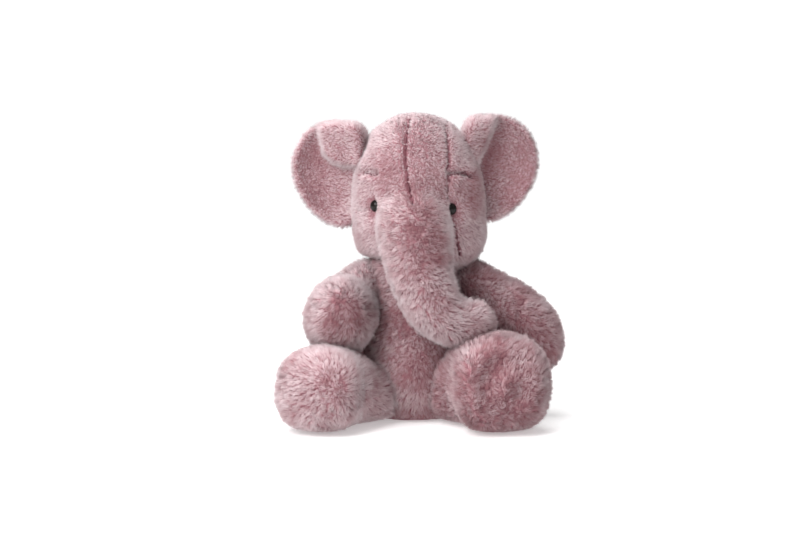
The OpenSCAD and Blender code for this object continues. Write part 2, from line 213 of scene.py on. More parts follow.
def one_skin(obj, voxel, smooth):
    """The pieces in obj become one closed, evenly gridded skin with soft junctions."""
    remesh = obj.modifiers.new("skin", "REMESH")
    remesh.mode = "VOXEL"
    remesh.voxel_size = voxel * MM
    remesh.use_smooth_shade = True
    soften = obj.modifiers.new("soften", "SMOOTH")
    soften.factor = 0.5
    soften.iterations = smooth
    return baked(obj)


def rest_on_floor(skin, lift=0.4):
    """What would sink through the floor lies flat on it."""
    co = points_of(skin.data)
    co[:, 2] = np.maximum(co[:, 2], lift * MM)
    set_points(skin.data, co)


# ---------------------------------------------------------------- plush pile

def strand():
    """One hair of the pile, 1 long and 1 wide at its root, closed, and tapered to its tip."""
    verts = [(0.5 * math.cos(a), 0.5 * math.sin(a), 0) for a in (0, 2 * math.pi / 3, 4 * math.pi / 3)]
    verts.append((0, 0, 1))
    faces = [(2, 1, 0), (0, 1, 3), (1, 2, 3), (2, 0, 3)]
    mesh = mesh_from("hair", verts, faces)
    for name, values in (("along", (0, 0.06, 0.12, 1)), ("side", (-1, 1, 0, 0.5))):
        mesh.attributes.new(name, "FLOAT", "POINT").data.foreach_set("value", values)
    obj = new_object("hair", mesh)
    obj.hide_render = True
    return obj


class Tree:
    """Builds one Geometry Nodes tree, node by node."""

    def __init__(self, name):
        self.tree = bpy.data.node_groups.new(name, "GeometryNodeTree")
        self.tree.interface.new_socket(name="Geometry", in_out="OUTPUT", socket_type="NodeSocketGeometry")
        self.inputs = self.tree.nodes.new("NodeGroupInput")
        self.outputs = self.tree.nodes.new("NodeGroupOutput")

    def input(self, name, kind, default=None):
        s = self.tree.interface.new_socket(name=name, in_out="INPUT", socket_type="NodeSocket" + kind)
        if default is not None:
            s.default_value = default
        return self.inputs.outputs[name]

    def add(self, kind, links=(), **settings):
        n = self.tree.nodes.new(kind)
        for key, value in settings.items():
            setattr(n, key, value)
        for key, value in dict(links).items():
            socket = n.inputs[key]
            if isinstance(value, bpy.types.NodeSocket):
                self.tree.links.new(value, socket)
            else:
                socket.default_value = value
        return n

    def math(self, op, a, b=0.0, c=0.0):
        return self.add("ShaderNodeMath", {0: a, 1: b, 2: c}, operation=op).outputs[0]

    def vec(self, op, a, b=(0, 0, 0), scale=None):
        links = {0: a}
        if op == "SCALE":
            links[3] = scale
        elif op != "NORMALIZE":
            links[1] = b
        return self.add("ShaderNodeVectorMath", links, operation=op).outputs[0]

    def named(self, name, kind):
        n = self.add("GeometryNodeInputNamedAttribute", {"Name": name}, data_type=kind)
        return n.outputs["Attribute"]

    def store(self, geometry, name, value, kind, domain):
        return self.add("GeometryNodeStoreNamedAttribute",
                        {"Geometry": geometry, "Name": name, "Value": value},
                        data_type=kind, domain=domain).outputs[0]

    def random(self, kind, low, high, seed):
        n = self.tree.nodes.new("FunctionNodeRandomValue")
        n.data_type = kind
        live = [s for s in n.inputs if s.enabled]
        by_name = {s.name: s for s in live}
        by_name["Min"].default_value = low
        by_name["Max"].default_value = high
        if isinstance(seed, bpy.types.NodeSocket):
            self.tree.links.new(seed, by_name["Seed"])
        else:
            by_name["Seed"].default_value = seed
        return [s for s in n.outputs if s.enabled][0]


def pile_tree():
    """Hairs all over a stuffed skin: they lean with the nap, gather in locks, and part along seams."""
    t = Tree("plush_pile")
    skin = t.input("Skin", "Geometry")
    hair = t.input("Hair", "Object")
    seams = t.input("Seams", "Object")
    density = t.input("Hairs per Square Metre", "Float", HAIRS)
    length = t.input("Length", "Float", HAIR_LENGTH)
    width = t.input("Width", "Float", HAIR_WIDTH)
    lean = t.input("Lean", "Float", 0.26)
    lock_density = t.input("Locks per Square Metre", "Float", 1.7e5)
    lock_pull = t.input("Lock Pull", "Float", 0.50)
    seam_width = t.input("Seam Width", "Float", 0.0030)
    seed = t.input("Seed", "Int", 1)
    material = t.input("Material", "Material")
    lean_from_seam, lock_stray, hair_stray = 1.1, 0.36, 0.30
    bald, sag, root_depth, floor_gap = 0.16, 0.16, 0.6 * MM, 0.2 * MM
    lock_share, hair_share, patch_share, side_share = 0.36, 0.12, 0.52, 0.012

    # hairs, fewer where the skin is hidden or rests on something
    spread = t.add("GeometryNodeDistributePointsOnFaces", {
        "Mesh": skin, "Density": t.math("MULTIPLY", density, t.named("pile_density", "FLOAT")),
        "Seed": seed}, distribute_method="RANDOM")
    points, normal = spread.outputs["Points"], spread.outputs["Normal"]
    here = t.add("GeometryNodeInputPosition").outputs[0]

    # seams: hairs close to one are short and lean away from it
    seam_shape = t.add("GeometryNodeObjectInfo", {"Object": seams}).outputs["Geometry"]
    near = t.add("GeometryNodeProximity", {0: seam_shape, "Source Position": here},
                 target_element="EDGES")
    clear = t.add("ShaderNodeMapRange", {0: near.outputs["Distance"], 1: 0.0, 2: seam_width,
                                         3: 0.0, 4: 1.0}, interpolation_type="SMOOTHSTEP").outputs[0]
    away = t.vec("NORMALIZE", t.vec("SUBTRACT", here, near.outputs["Position"]))
    away = t.vec("SCALE", away, scale=t.math("MULTIPLY", t.math("SUBTRACT", 1.0, clear), lean_from_seam))

    # locks: every hair goes with the nearest of a sparser set of points
    lock_points = t.add("GeometryNodeDistributePointsOnFaces", {
        "Mesh": skin, "Density": lock_density, "Seed": t.math("ADD", seed, 50)},
        distribute_method="RANDOM").outputs["Points"]
    nearest = t.add("GeometryNodeSampleNearest", {"Geometry": lock_points, "Sample Position": here},
                    domain="POINT").outputs[0]

    def of_lock(value, kind):
        n = t.tree.nodes.new("GeometryNodeSampleIndex")
        n.data_type = kind
        n.domain = "POINT"
        t.tree.links.new(lock_points, n.inputs["Geometry"])
        t.tree.links.new(value, n.inputs["Value"])
        t.tree.links.new(nearest, n.inputs["Index"])
        return [s for s in n.outputs if s.enabled][0]

    lock_here = of_lock(here, "FLOAT_VECTOR")
    lock_tint = of_lock(t.random("FLOAT", 0.0, 1.0, 11), "FLOAT")
    lock_turn = of_lock(t.random("FLOAT_VECTOR", (-1, -1, -1), (1, 1, 1), 12), "FLOAT_VECTOR")
    lock_size = of_lock(t.random("FLOAT", 0.82, 1.12, 13), "FLOAT")

    nap = t.named("nap", "FLOAT_VECTOR")
    long = t.math("MULTIPLY", length, t.named("pile_length", "FLOAT"))
    long = t.math("MULTIPLY", long, t.random("FLOAT", 0.72, 1.12, 21))
    long = t.math("MULTIPLY", long, lock_size)
    long = t.math("MULTIPLY", long, t.math("MULTIPLY_ADD", clear, 0.85, 0.15))

    way = t.vec("ADD", normal, t.vec("SCALE", nap, scale=lean))
    way = t.vec("ADD", way, t.vec("SCALE", lock_turn, scale=t.math("MULTIPLY", clear, lock_stray)))
    stray = t.random("FLOAT_VECTOR", (-hair_stray,) * 3, (hair_stray,) * 3, 22)
    way = t.vec("ADD", way, t.vec("SCALE", stray, scale=clear))
    way = t.vec("ADD", way, away)

    # how far the tip is pulled over: with the nap, and to the middle of its lock
    to_lock = t.vec("SUBTRACT", lock_here, here)
    to_lock = t.vec("SCALE", to_lock, scale=t.math("MULTIPLY", lock_pull, clear))
    over = t.vec("ADD", t.vec("SCALE", nap, scale=t.math("MULTIPLY", long, sag)), to_lock)
    stored = t.store(points, "tip_move", over, "FLOAT_VECTOR", "POINT")
    stored = t.store(stored, "skin_normal", normal, "FLOAT_VECTOR", "POINT")
    tint = t.math("ADD", t.math("MULTIPLY", lock_tint, lock_share),
                  t.math("MULTIPLY", t.random("FLOAT", 0.0, 1.0, 23), hair_share))
    tint = t.math("ADD", tint, t.math("MULTIPLY", t.named("pile_tint", "FLOAT"), patch_share))
    stored = t.store(stored, "tint", tint, "FLOAT", "POINT")

    # each hair stands along its way, turned about itself, and none stands right in a seam
    turn = t.add("FunctionNodeAlignRotationToVector", {"Vector": way}, axis="Z").outputs[0]
    spin = t.add("FunctionNodeAxisAngleToRotation", {
        "Axis": (0, 0, 1), "Angle": t.random("FLOAT", 0.0, 2 * math.pi, 24)}).outputs[0]
    turn = t.add("FunctionNodeRotateRotation", {"Rotation": turn, "Rotate By": spin},
                 rotation_space="LOCAL").outputs[0]
    wide = t.math("MULTIPLY", width, t.random("FLOAT", 0.7, 1.2, 25))
    size = t.add("ShaderNodeCombineXYZ", {0: wide, 1: wide, 2: long}).outputs[0]
    hair_shape = t.add("GeometryNodeObjectInfo", {"Object": hair}).outputs["Geometry"]
    standing = t.math("GREATER_THAN", clear, bald)
    hairs = t.add("GeometryNodeInstanceOnPoints", {
        "Points": stored, "Selection": standing, "Instance": hair_shape, "Rotation": turn,
        "Scale": size}).outputs[0]
    real = t.add("GeometryNodeRealizeInstances", {"Geometry": hairs}).outputs[0]

    # the real hairs bend over, root in the backing and stay above the floor
    along = t.named("along", "FLOAT")
    sink = t.vec("SCALE", t.named("skin_normal", "FLOAT_VECTOR"), scale=-root_depth)
    move = t.vec("ADD", t.vec("SCALE", t.named("tip_move", "FLOAT_VECTOR"), scale=along), sink)
    real = t.add("GeometryNodeSetPosition", {"Geometry": real, "Offset": move}).outputs[0]
    resting = t.vec("MAXIMUM", t.add("GeometryNodeInputPosition").outputs[0], (-9, -9, floor_gap))
    real = t.add("GeometryNodeSetPosition", {"Geometry": real, "Position": resting}).outputs[0]

    # the colour map: across it is the tint, and up it is from root to tip
    across = t.math("MULTIPLY", t.named("side", "FLOAT"), side_share)
    across = t.math("ADD", t.named("tint", "FLOAT"), across)
    place = t.add("ShaderNodeCombineXYZ", {0: across, 1: along, 2: 0.0}).outputs[0]
    real = t.store(real, "OFBake", place, "FLOAT2", "CORNER")
    real = t.add("GeometryNodeSetMaterial", {"Geometry": real, "Material": material}).outputs[0]
    t.tree.links.new(real, t.outputs.inputs[0])
    return t.tree


def one_stitch():
    """A short run of thread along +X, 1 long, plump in the middle and closed."""
    rows = ((-0.5, 0.02), (-0.42, 0.32), (-0.2, 0.5), (0.2, 0.5), (0.42, 0.32), (0.5, 0.02))
    verts = [(x, r * math.cos(a), r * math.sin(a)) for x, r in rows
             for a in np.linspace(0, 2 * math.pi, 6, endpoint=False)]
    faces = [(6 * i + k, 6 * i + (k + 1) % 6, 6 * i + 6 + (k + 1) % 6, 6 * i + 6 + k)
             for i in range(5) for k in range(6)]
    faces += [tuple(range(5, -1, -1)), tuple(range(30, 36))]
    obj = new_object("one_stitch", mesh_from("one_stitch", verts, faces))
    face_outward(obj.data)
    obj.hide_render = True
    return obj


def stitch_tree():
    """Stitches at an even pitch along seam lines, with or across them."""
    t = Tree("hand_stitches")
    seam = t.input("Seam", "Geometry")
    stitch = t.input("Stitch", "Object")
    pitch = t.input("Pitch", "Float", 0.006)
    long = t.input("Stitch Length", "Float", 0.004)
    thick = t.input("Thread Width", "Float", 0.001)
    across = t.input("Turn Across", "Float", 0.0)
    seed = t.input("Seed", "Int", 1)
    material = t.input("Material", "Material")
    curve = t.add("GeometryNodeMeshToCurve", {"Mesh": seam}).outputs[0]
    points = t.add("GeometryNodeCurveToPoints", {"Curve": curve, "Length": pitch}, mode="LENGTH")
    turn = t.add("FunctionNodeAlignRotationToVector", {"Vector": points.outputs["Tangent"]},
                 axis="X").outputs[0]
    stray = t.random("FLOAT", -0.12, 0.12, seed)
    spin = t.add("FunctionNodeAxisAngleToRotation", {
        "Axis": (0, 1, 0), "Angle": t.math("ADD", across, stray)}).outputs[0]
    turn = t.add("FunctionNodeRotateRotation", {"Rotation": turn, "Rotate By": spin},
                 rotation_space="GLOBAL").outputs[0]
    uneven = t.math("MULTIPLY", long, t.random("FLOAT", 0.45, 1.2, t.math("ADD", seed, 5)))
    size = t.add("ShaderNodeCombineXYZ", {0: uneven, 1: thick, 2: thick}).outputs[0]
    shape = t.add("GeometryNodeObjectInfo", {"Object": stitch}).outputs["Geometry"]
    sewn = t.add("GeometryNodeInstanceOnPoints", {
        "Points": points.outputs["Points"], "Instance": shape, "Rotation": turn, "Scale": size}).outputs[0]
    real = t.add("GeometryNodeRealizeInstances", {"Geometry": sewn}).outputs[0]
    real = t.add("GeometryNodeSetMaterial", {"Geometry": real, "Material": material}).outputs[0]
    t.tree.links.new(real, t.outputs.inputs[0])
    return t.tree


HAIR = strand()
PILE = pile_tree()
STITCH = one_stitch()
SEWING = stitch_tree()
NO_SEAM = new_object("no_seam", bpy.data.meshes.new("no_seam"))
NO_SEAM.data.from_pydata([(0, 0, -9), (0, 0, -9.01)], [(0, 1)], [])
NO_SEAM.hide_render = True
HELPERS = [HAIR, NO_SEAM, STITCH]    # removed before the end


def set_inputs(modifier, values):
    """A Geometry Nodes modifier's inputs, set by their sockets' identifiers."""
    for item in modifier.node_group.interface.items_tree:
        if item.in_out == "INPUT" and item.name in values:
            modifier[item.identifier] = values[item.name]


def grow_pile(name, skin, part, seed, seams=None, **sizes):
    """The pile of one skin as a plain mesh. part is a mask over the skin's points, 0 to 1."""
    mesh = skin.data
    source = new_object(name, mesh.copy())
    full = np.zeros(len(mesh.vertices), np.float32)
    mesh.attributes["pile_density"].data.foreach_get("value", full)
    source.data.attributes["pile_density"].data.foreach_set("value", (full * part).astype(np.float32))
    growth = source.modifiers.new("pile", "NODES")
    growth.node_group = PILE
    values = {"Hair": HAIR, "Seams": seams or NO_SEAM, "Material": PLUSH, "Seed": seed, **sizes}
    set_inputs(growth, values)
    baked(source)
    mesh = source.data
    soften_shading(mesh)
    for a in ("tip_move", "skin_normal", "tint", "along", "side"):
        if a in mesh.attributes:
            mesh.attributes.remove(mesh.attributes[a])
    return source


def soften_shading(mesh, share=0.72):
    """Hairs take part of their shading from the skin below, as a deep pile does."""
    n = len(mesh.vertices)
    below = np.zeros(n * 3, np.float32)
    mesh.attributes["skin_normal"].data.foreach_get("vector", below)
    below = below.reshape(-1, 3)
    own = normals_of(mesh)
    mix = below * share + own * (1 - share)
    mix /= np.maximum(np.linalg.norm(mix, axis=1, keepdims=True), 1e-9)
    mesh.polygons.foreach_set("use_smooth", np.ones(len(mesh.polygons), bool))
    mesh.normals_split_custom_set_from_vertices(mix.tolist())


def flow(skin, direction, length=1.0, density=1.0, tint_seed=3, pale=0.0, ruffled=0.35):
    """Stores where the nap of a skin runs, how long and how dense its pile is, and how pale."""
    swirl, patch, mottle = 22 * MM, 20 * MM, 8 * MM
    mesh = skin.data
    co, no = points_of(mesh), normals_of(mesh)
    d = np.array([direction(p) for p in co], float)
    d += ruffled * np.stack([noise_at(co, swirl, tint_seed + k) for k in range(3)], axis=1)
    d -= no * np.sum(d * no, axis=1, keepdims=True)
    d /= np.maximum(np.linalg.norm(d, axis=1, keepdims=True), 1e-6)
    tint = np.clip(0.5 + pale + 0.60 * noise_at(co, patch, tint_seed + 7)
                   + 0.40 * noise_at(co, mottle, tint_seed + 8), 0, 1)
    for name, kind, values in (
            ("nap", "FLOAT_VECTOR", d), ("pile_length", "FLOAT", np.broadcast_to(length, len(co))),
            ("pile_density", "FLOAT", np.broadcast_to(density, len(co))), ("pile_tint", "FLOAT", tint)):
        key = "vector" if kind == "FLOAT_VECTOR" else "value"
        mesh.attributes.new(name, kind, "POINT").data.foreach_set(
            key, np.ascontiguousarray(values, np.float32).ravel())


# ---------------------------------------------------------------- materials

def shader(name, **values):
    """A new material, with its Principled shader set by name."""
    mat = bpy.data.materials.new(name)
    mat.use_nodes = True
    nodes, links = mat.node_tree.nodes, mat.node_tree.links
    bsdf = nodes["Principled BSDF"]
    for key, value in values.items():
        bsdf.inputs[key.replace("_", " ")].default_value = value
    return mat, nodes, links, bsdf


def clouds(nodes, links, scale, detail=2):
    """Soft noise that sits still on the piece."""
    coords = nodes.new("ShaderNodeTexCoord")
    spots = nodes.new("ShaderNodeTexNoise")
    spots.inputs["Scale"].default_value = scale
    spots.inputs["Detail"].default_value = detail
    links.new(coords.outputs["Object"], spots.inputs["Vector"])
    return spots.outputs[0]


def shades(nodes, links, value, *stops):
    """Colours along a value from 0 to 1. Each stop is a place and a linear colour."""
    node = nodes.new("ShaderNodeValToRGB")
    ramp = node.color_ramp
    for element, (place, colour) in zip(ramp.elements, (stops[0], stops[-1])):
        element.position = place
        element.color = colour
    for place, colour in stops[1:-1]:
        ramp.elements.new(place).color = colour
    links.new(value, node.inputs[0])
    return node.outputs[0]


def raised(nodes, links, height, bsdf, strength, distance):
    """A fine relief in the surface."""
    bump = nodes.new("ShaderNodeBump")
    bump.inputs["Strength"].default_value = strength
    bump.inputs["Distance"].default_value = distance
    links.new(height, bump.inputs["Height"])
    links.new(bump.outputs[0], bsdf.inputs["Normal"])


def plush_material():
    """Dusty pink pile: dark and redder at the roots, which is painted shade deep in the pile, paler at the
    tips, with locks of their own tint.
    """
    mat, nodes, links, bsdf = shader("plush_pile", Roughness=0.85, Specular_IOR_Level=0.25, Sheen_Weight=0.35,
                                     Sheen_Roughness=0.5, Sheen_Tint=linear(240, 228, 230))
    uv = nodes.new("ShaderNodeUVMap")
    uv.uv_map = "OFBake"
    split = nodes.new("ShaderNodeSeparateXYZ")
    links.new(uv.outputs[0], split.inputs[0])
    # along each hair: the darker, redder roots are painted shade deep in the pile
    along = shades(nodes, links, split.outputs[1], (0.0, linear(188, 148, 154)),
                   (0.45, linear(213, 187, 191)), (1.0, linear(233, 222, 224)))
    lock = shades(nodes, links, split.outputs[0], (0.12, linear(192, 150, 155)),
                  (0.88, linear(255, 255, 255)))
    mix = nodes.new("ShaderNodeMix")
    mix.data_type = "RGBA"
    mix.blend_type = "MULTIPLY"
    mix.inputs[0].default_value = 1.0
    links.new(along, mix.inputs[6])
    links.new(lock, mix.inputs[7])
    links.new(mix.outputs[2], bsdf.inputs["Base Color"])
    return mat


def backing_material():
    """The knitted backing between the hairs, darker still down in the seams and brow tucks, where the dark is
    painted shade.
    """
    mat, nodes, links, bsdf = shader("plush_backing", Roughness=0.95, Specular_IOR_Level=0.1)
    spots = clouds(nodes, links, 420, 3)
    knit = shades(nodes, links, spots, (0.3, linear(120, 78, 85)), (0.7, linear(160, 116, 123)))
    # painted shade: the backing goes dark towards the seams and brow tucks
    seam = nodes.new("ShaderNodeAttribute")
    seam.attribute_name = "in_seam"
    shade = nodes.new("ShaderNodeMix")
    shade.data_type = "RGBA"
    links.new(seam.outputs["Fac"], shade.inputs[0])
    links.new(knit, shade.inputs[6])
    shade.inputs[7].default_value = linear(84, 44, 51)
    links.new(shade.outputs[2], bsdf.inputs["Base Color"])
    raised(nodes, links, spots, bsdf, 0.5, 0.6 * MM)
    return mat


def bead_material():
    """Polished black bead with the faintest brown in it."""
    mat, nodes, links, bsdf = shader("eye_bead", Roughness=0.05, Specular_IOR_Level=0.2)
    colour = shades(nodes, links, clouds(nodes, links, 300), (0.0, (0.004, 0.003, 0.003, 1)),
                    (1.0, (0.012, 0.008, 0.007, 1)))
    links.new(colour, bsdf.inputs["Base Color"])
    return mat


def clouded_material(name, dark, pale, rough, scale):
    """Moulded plastic or thick thread, faintly clouded."""
    mat, nodes, links, bsdf = shader(name, Roughness=rough)
    colour = shades(nodes, links, clouds(nodes, links, scale), (0.0, linear(*dark)), (1.0, linear(*pale)))
    links.new(colour, bsdf.inputs["Base Color"])
    return mat


def ribbon_material():
    """Off-white woven ribbon with a fine cross weave."""
    mat, nodes, links, bsdf = shader("ribbon", Roughness=0.6)
    coords = nodes.new("ShaderNodeTexCoord")
    weave = nodes.new("ShaderNodeMath")
    weave.operation = "MULTIPLY"
    for thread, (direction, scale) in enumerate((("X", 700), ("Z", 900))):
        wave = nodes.new("ShaderNodeTexWave")
        wave.bands_direction = direction
        wave.inputs["Scale"].default_value = scale
        wave.inputs["Distortion"].default_value = 0.6
        links.new(coords.outputs["Object"], wave.inputs["Vector"])
        links.new(wave.outputs["Fac"], weave.inputs[thread])
    height = weave.outputs[0]
    colour = shades(nodes, links, height, (0.0, linear(214, 208, 198)), (1.0, linear(243, 239, 231)))
    links.new(colour, bsdf.inputs["Base Color"])
    raised(nodes, links, height, bsdf, 0.4, 0.2 * MM)
    return mat


RIBBON = ribbon_material()
PLUSH = plush_material()
BACKING = backing_material()
BEAD = bead_material()
PELLET = clouded_material("pellet_plastic", (222, 219, 210), (240, 238, 231), 0.45, 160)
THREAD = clouded_material("thread", (84, 46, 53), (110, 64, 72), 0.8, 900)
WASHER = clouded_material("washer_plastic", (226, 226, 223), (242, 242, 240), 0.4, 220)


# ---------------------------------------------------------------- the toy's pieces

def plump(skin, held, pressure=4.0, most=2.5):
    """Cloth filled under pressure: the skin swells between its seams, which are held.
    No point moves further than most, in mm, and the whole skin ends a little fuller."""
    seam_reach, frames, fullness = 6 * MM, 20, 0.9 * MM
    mesh = skin.data
    start = points_of(mesh)
    no = normals_of(mesh)
    to_seams = np.min(np.linalg.norm(start[:, None, :] - held[None, ::3, :], axis=2), axis=1)
    loose = np.clip(to_seams / seam_reach, 0, 1)
    set_points(mesh, start - no * (0.5 * most * MM) * loose[:, None])
    group = skin.vertex_groups.new(name="held")
    for i, weight in enumerate(1 - loose):
        if weight > 0.05:
            group.add([i], float(weight), "REPLACE")
    cloth = skin.modifiers.new("stuffing", "CLOTH")
    cloth.settings.use_pressure = True
    cloth.settings.uniform_pressure_force = pressure
    cloth.settings.effector_weights.gravity = 0
    cloth.settings.vertex_group_mass = "held"
    cloth.settings.quality = 4
    cloth.settings.tension_stiffness = 12
    cloth.settings.compression_stiffness = 12
    cloth.settings.bending_stiffness = 0.6
    cloth.collision_settings.use_collision = False
    for f in range(1, frames + 1):
        scene.frame_set(f)
    graph = bpy.context.evaluated_depsgraph_get()
    swollen = points_of(skin.evaluated_get(graph).data)
    skin.modifiers.remove(cloth)
    skin.vertex_groups.remove(group)
    scene.frame_set(1)
    move = swollen - start
    far = np.linalg.norm(move, axis=1, keepdims=True)
    move *= np.minimum(1, most * MM / np.maximum(far, 1e-9))
    set_points(mesh, start + move + no * fullness)


def resampled(line, step=0.7 * MM):
    """Points every step along a line of points."""
    line = np.array(line, float)
    out = [line[:1]]
    for a, b in zip(line[:-1], line[1:]):
        n = max(1, int(np.linalg.norm(b - a) / step))
        out.append(a + (b - a) * (np.arange(1, n + 1) / n)[:, None])
    return np.vstack(out)


def distance_to(co, line):
    """How far each point is from the nearest point of a line."""
    tree = KDTree(len(line))
    for i, p in enumerate(line):
        tree.insert(p, i)
    tree.balance()
    return np.array([tree.find(p)[2] for p in co])


def dent(skin, line, deep, wide):
    """The skin is pulled in along a line, deep and wide in mm. Where deep is negative it is puffed out."""
    mesh = skin.data
    co, no = points_of(mesh), normals_of(mesh)
    d = distance_to(co, line) / (wide * MM)
    set_points(mesh, co - no * (deep * MM * np.exp(-d * d))[:, None])


def surface(skin):
    """A skin as it is now, to lay lines and points on."""
    graph = bpy.context.evaluated_depsgraph_get()
    graph.update()
    return BVHTree.FromObject(skin, graph)


def on_front(tree, rows, way=1):
    """Rows of x and z in mm, laid on the front of a skin, or with way -1 on its back."""
    out = []
    for x, z in resampled(rows, 1.0):
        hit = tree.ray_cast(Vector((x * MM, -0.3 * way, z * MM)), Vector((0, way, 0)))[0]
        if hit is not None:
            out.append(hit)
    return np.array(out)


def on_skin(tree, line):
    """A line laid on the nearest skin."""
    return np.array([tree.find_nearest(Vector(p))[0] for p in line])


def side_seams(rows, up, count=60):
    """The two seams along the sides of a stuffed tube, before they are laid on its skin."""
    rows = spline(rows, count)
    lines = [[], []]
    up = np.array(up, float)
    for i in range(2, count - 1):
        t = rows[min(i + 1, count - 1), :3] - rows[i - 1, :3]
        side = np.cross(t, up)
        side /= np.linalg.norm(side)
        for line, way in zip(lines, (1, -1)):
            line.append((rows[i, :3] + way * side * rows[i, 3]) * MM)
    return [np.array(line) for line in lines]


def parting(name, lines, dash=(1, 1), creases=()):
    """Loose edges for the pile to part along: seams in dashes, creases whole."""
    verts, edges = [], []
    for line in list(lines) + list(creases):
        for i in range(len(line) - 1):
            if i % dash[1] >= dash[0] and not any(line is c for c in creases):
                continue
            edges.append((len(verts), len(verts) + 1))
            verts += [line[i], line[i + 1]]
    mesh = bpy.data.meshes.new(name)
    mesh.from_pydata([tuple(v) for v in verts], edges, [])
    obj = new_object(name, mesh)
    obj.hide_render = True
    HELPERS.append(obj)
    return obj


def lumpy(skin, size, high, seed):
    """Loose stuffing never fills a skin evenly: lumps of a size and a height, in mm."""
    mesh = skin.data
    co, no = points_of(mesh), normals_of(mesh)
    set_points(mesh, co + no * (noise_at(co, size * MM, seed) * high * MM)[:, None])


def smooth_flat(mesh):
    mesh.polygons.foreach_set("use_smooth", np.ones(len(mesh.polygons), bool))


def carry(obj, body):
    """obj rides one body; given two bodies, its transform is only baked into its mesh."""
    if isinstance(body, str):
        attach(obj, body)
    else:
        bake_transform(obj)


def dressed(skin, body, nodes):
    """A finished skin: its backing and the nodes it stands for."""
    skin.data.materials.clear()
    skin.data.materials.append(BACKING)
    smooth_flat(skin.data)
    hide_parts(*nodes)
    carry(skin, body)


def clad(pile, body):
    """A finished pile moves with the skin it grew on."""
    carry(pile, body)


def sew(name, lines, body, nodes, seed, **sizes):
    """Stitches along seam lines, standing a little off the skin."""
    verts, edges = [], []
    for line in lines:
        for i in range(len(line) - 1):
            edges.append((len(verts) + i, len(verts) + i + 1))
        verts += list(line)
    mesh = bpy.data.meshes.new(name)
    mesh.from_pydata([tuple(v) for v in verts], edges, [])
    obj = new_object(name, mesh)
    sewing = obj.modifiers.new("stitches", "NODES")
    sewing.node_group = SEWING
    set_inputs(sewing, {"Stitch": STITCH, "Material": THREAD, "Seed": seed, **sizes})
    baked(obj)
    smooth_flat(obj.data)
    if nodes:
        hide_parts(*nodes)
    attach(obj, body)
    return obj


def lifted(tree, line, height):
    """A line moved straight off the skin it lies on."""
    out = []
    for p in line:
        hit, normal = tree.find_nearest(Vector(p))[:2]
        out.append(hit + normal * height * MM)
    return np.array(out)


# the path of each stuffed form, a row for each point: x, y, z, half width and half height, in mm

# torso: a stuffed bag, widest just above its seat
TORSO = [
    (0, 0, -1, 16, 14), (0, 1, 0.5, 27, 21), (0, 1, 4, 34, 27), (0, -1, 12, 39, 36.5),
    (0, -3.5, 28, 42, 43.5), (0, -3, 48, 43, 42.5), (0, -1, 70, 41, 39), (0, 0, 90, 37, 36),
    (0, 0, 106, 34.5, 33), (0, 0, 118, 32.5, 30), (0, 0, 127, 20, 20), (0, 0, 130, 5, 5)]
torso = one_skin(stuffed_tube("torso_skin", TORSO, (0, -1, 0)), 2.6, 3)

# head and trunk are one skin
HEAD = [
    (0.5, 0, 225, 3, 3), (0.5, 0, 223.3, 15, 16), (0.5, 0, 216.6, 27, 29), (0.5, 0, 206.5, 36.5, 38),
    (0.8, 0, 195, 42.5, 44), (1, 0, 184, 45.5, 47), (1.2, 0, 172, 47.8, 48.5), (1.6, 0, 160, 49, 48.5),
    (2.2, -1, 148, 48.8, 47.5), (2.6, -1, 137, 48.6, 45), (2.2, -1, 128, 46.2, 42),
    (2, -1, 121, 41.5, 36), (1.5, -1, 116, 31, 25), (1, -1, 115, 5, 5)]
TRUNK = [
    (-2, -10, 160, 16, 16), (-2, -28, 156, 25.5, 22), (-1.5, -44, 146, 27, 23.5),
    (0, -56, 130, 23.8, 21.5), (2.8, -63, 112, 20.8, 19), (8.5, -66, 96, 19.2, 17.8),
    (17.5, -66, 84, 17.2, 16.8), (30, -63, 77.5, 16.2, 15.8), (40, -59.5, 78, 14.8, 14.6),
    (46.5, -57, 80.5, 13, 13), (50.5, -55.5, 82.5, 9.5, 9.5), (52.3, -55, 83.5, 4, 4)]
head = joined("head_skin", [stuffed_tube("head_core", HEAD, (0, -1, 0), count=60),
                            stuffed_tube("trunk_core", TRUNK, (0, 1, 0), count=60)])
head = one_skin(head, 1.9, 20)

# the ear's rim, out from its root and up, in mm
EAR_OUTLINE = [
    (1, 35.5), (13, 37.5), (25, 37.5), (36, 34), (45, 26), (51, 13.5), (52, 2), (49.5, -9.5),
    (44.5, -19.5), (37, -29), (27, -36.5), (16, -39.8), (5, -36.5), (-1, -22), (-3, 0), (-4, 23)]


def within(p, corners):
    """Whether p lies inside a flat outline."""
    inside = False
    x, y = p
    for (ax, ay), (bx, by) in zip(corners, np.roll(corners, -1, axis=0)):
        if (ay > y) != (by > y) and x < (bx - ax) * (y - ay) / (by - ay) + ax:
            inside = not inside
    return inside


def lobe_outline(crease):
    """A crease in an ear as a close line, and the outline of the lobe that folds over inside it."""
    line = resampled(np.array(crease, float), 0.5)
    inner, above = -20, 60
    return line, np.vstack([line, (inner, line[-1][1]), (inner, above), (line[0][0], above)])


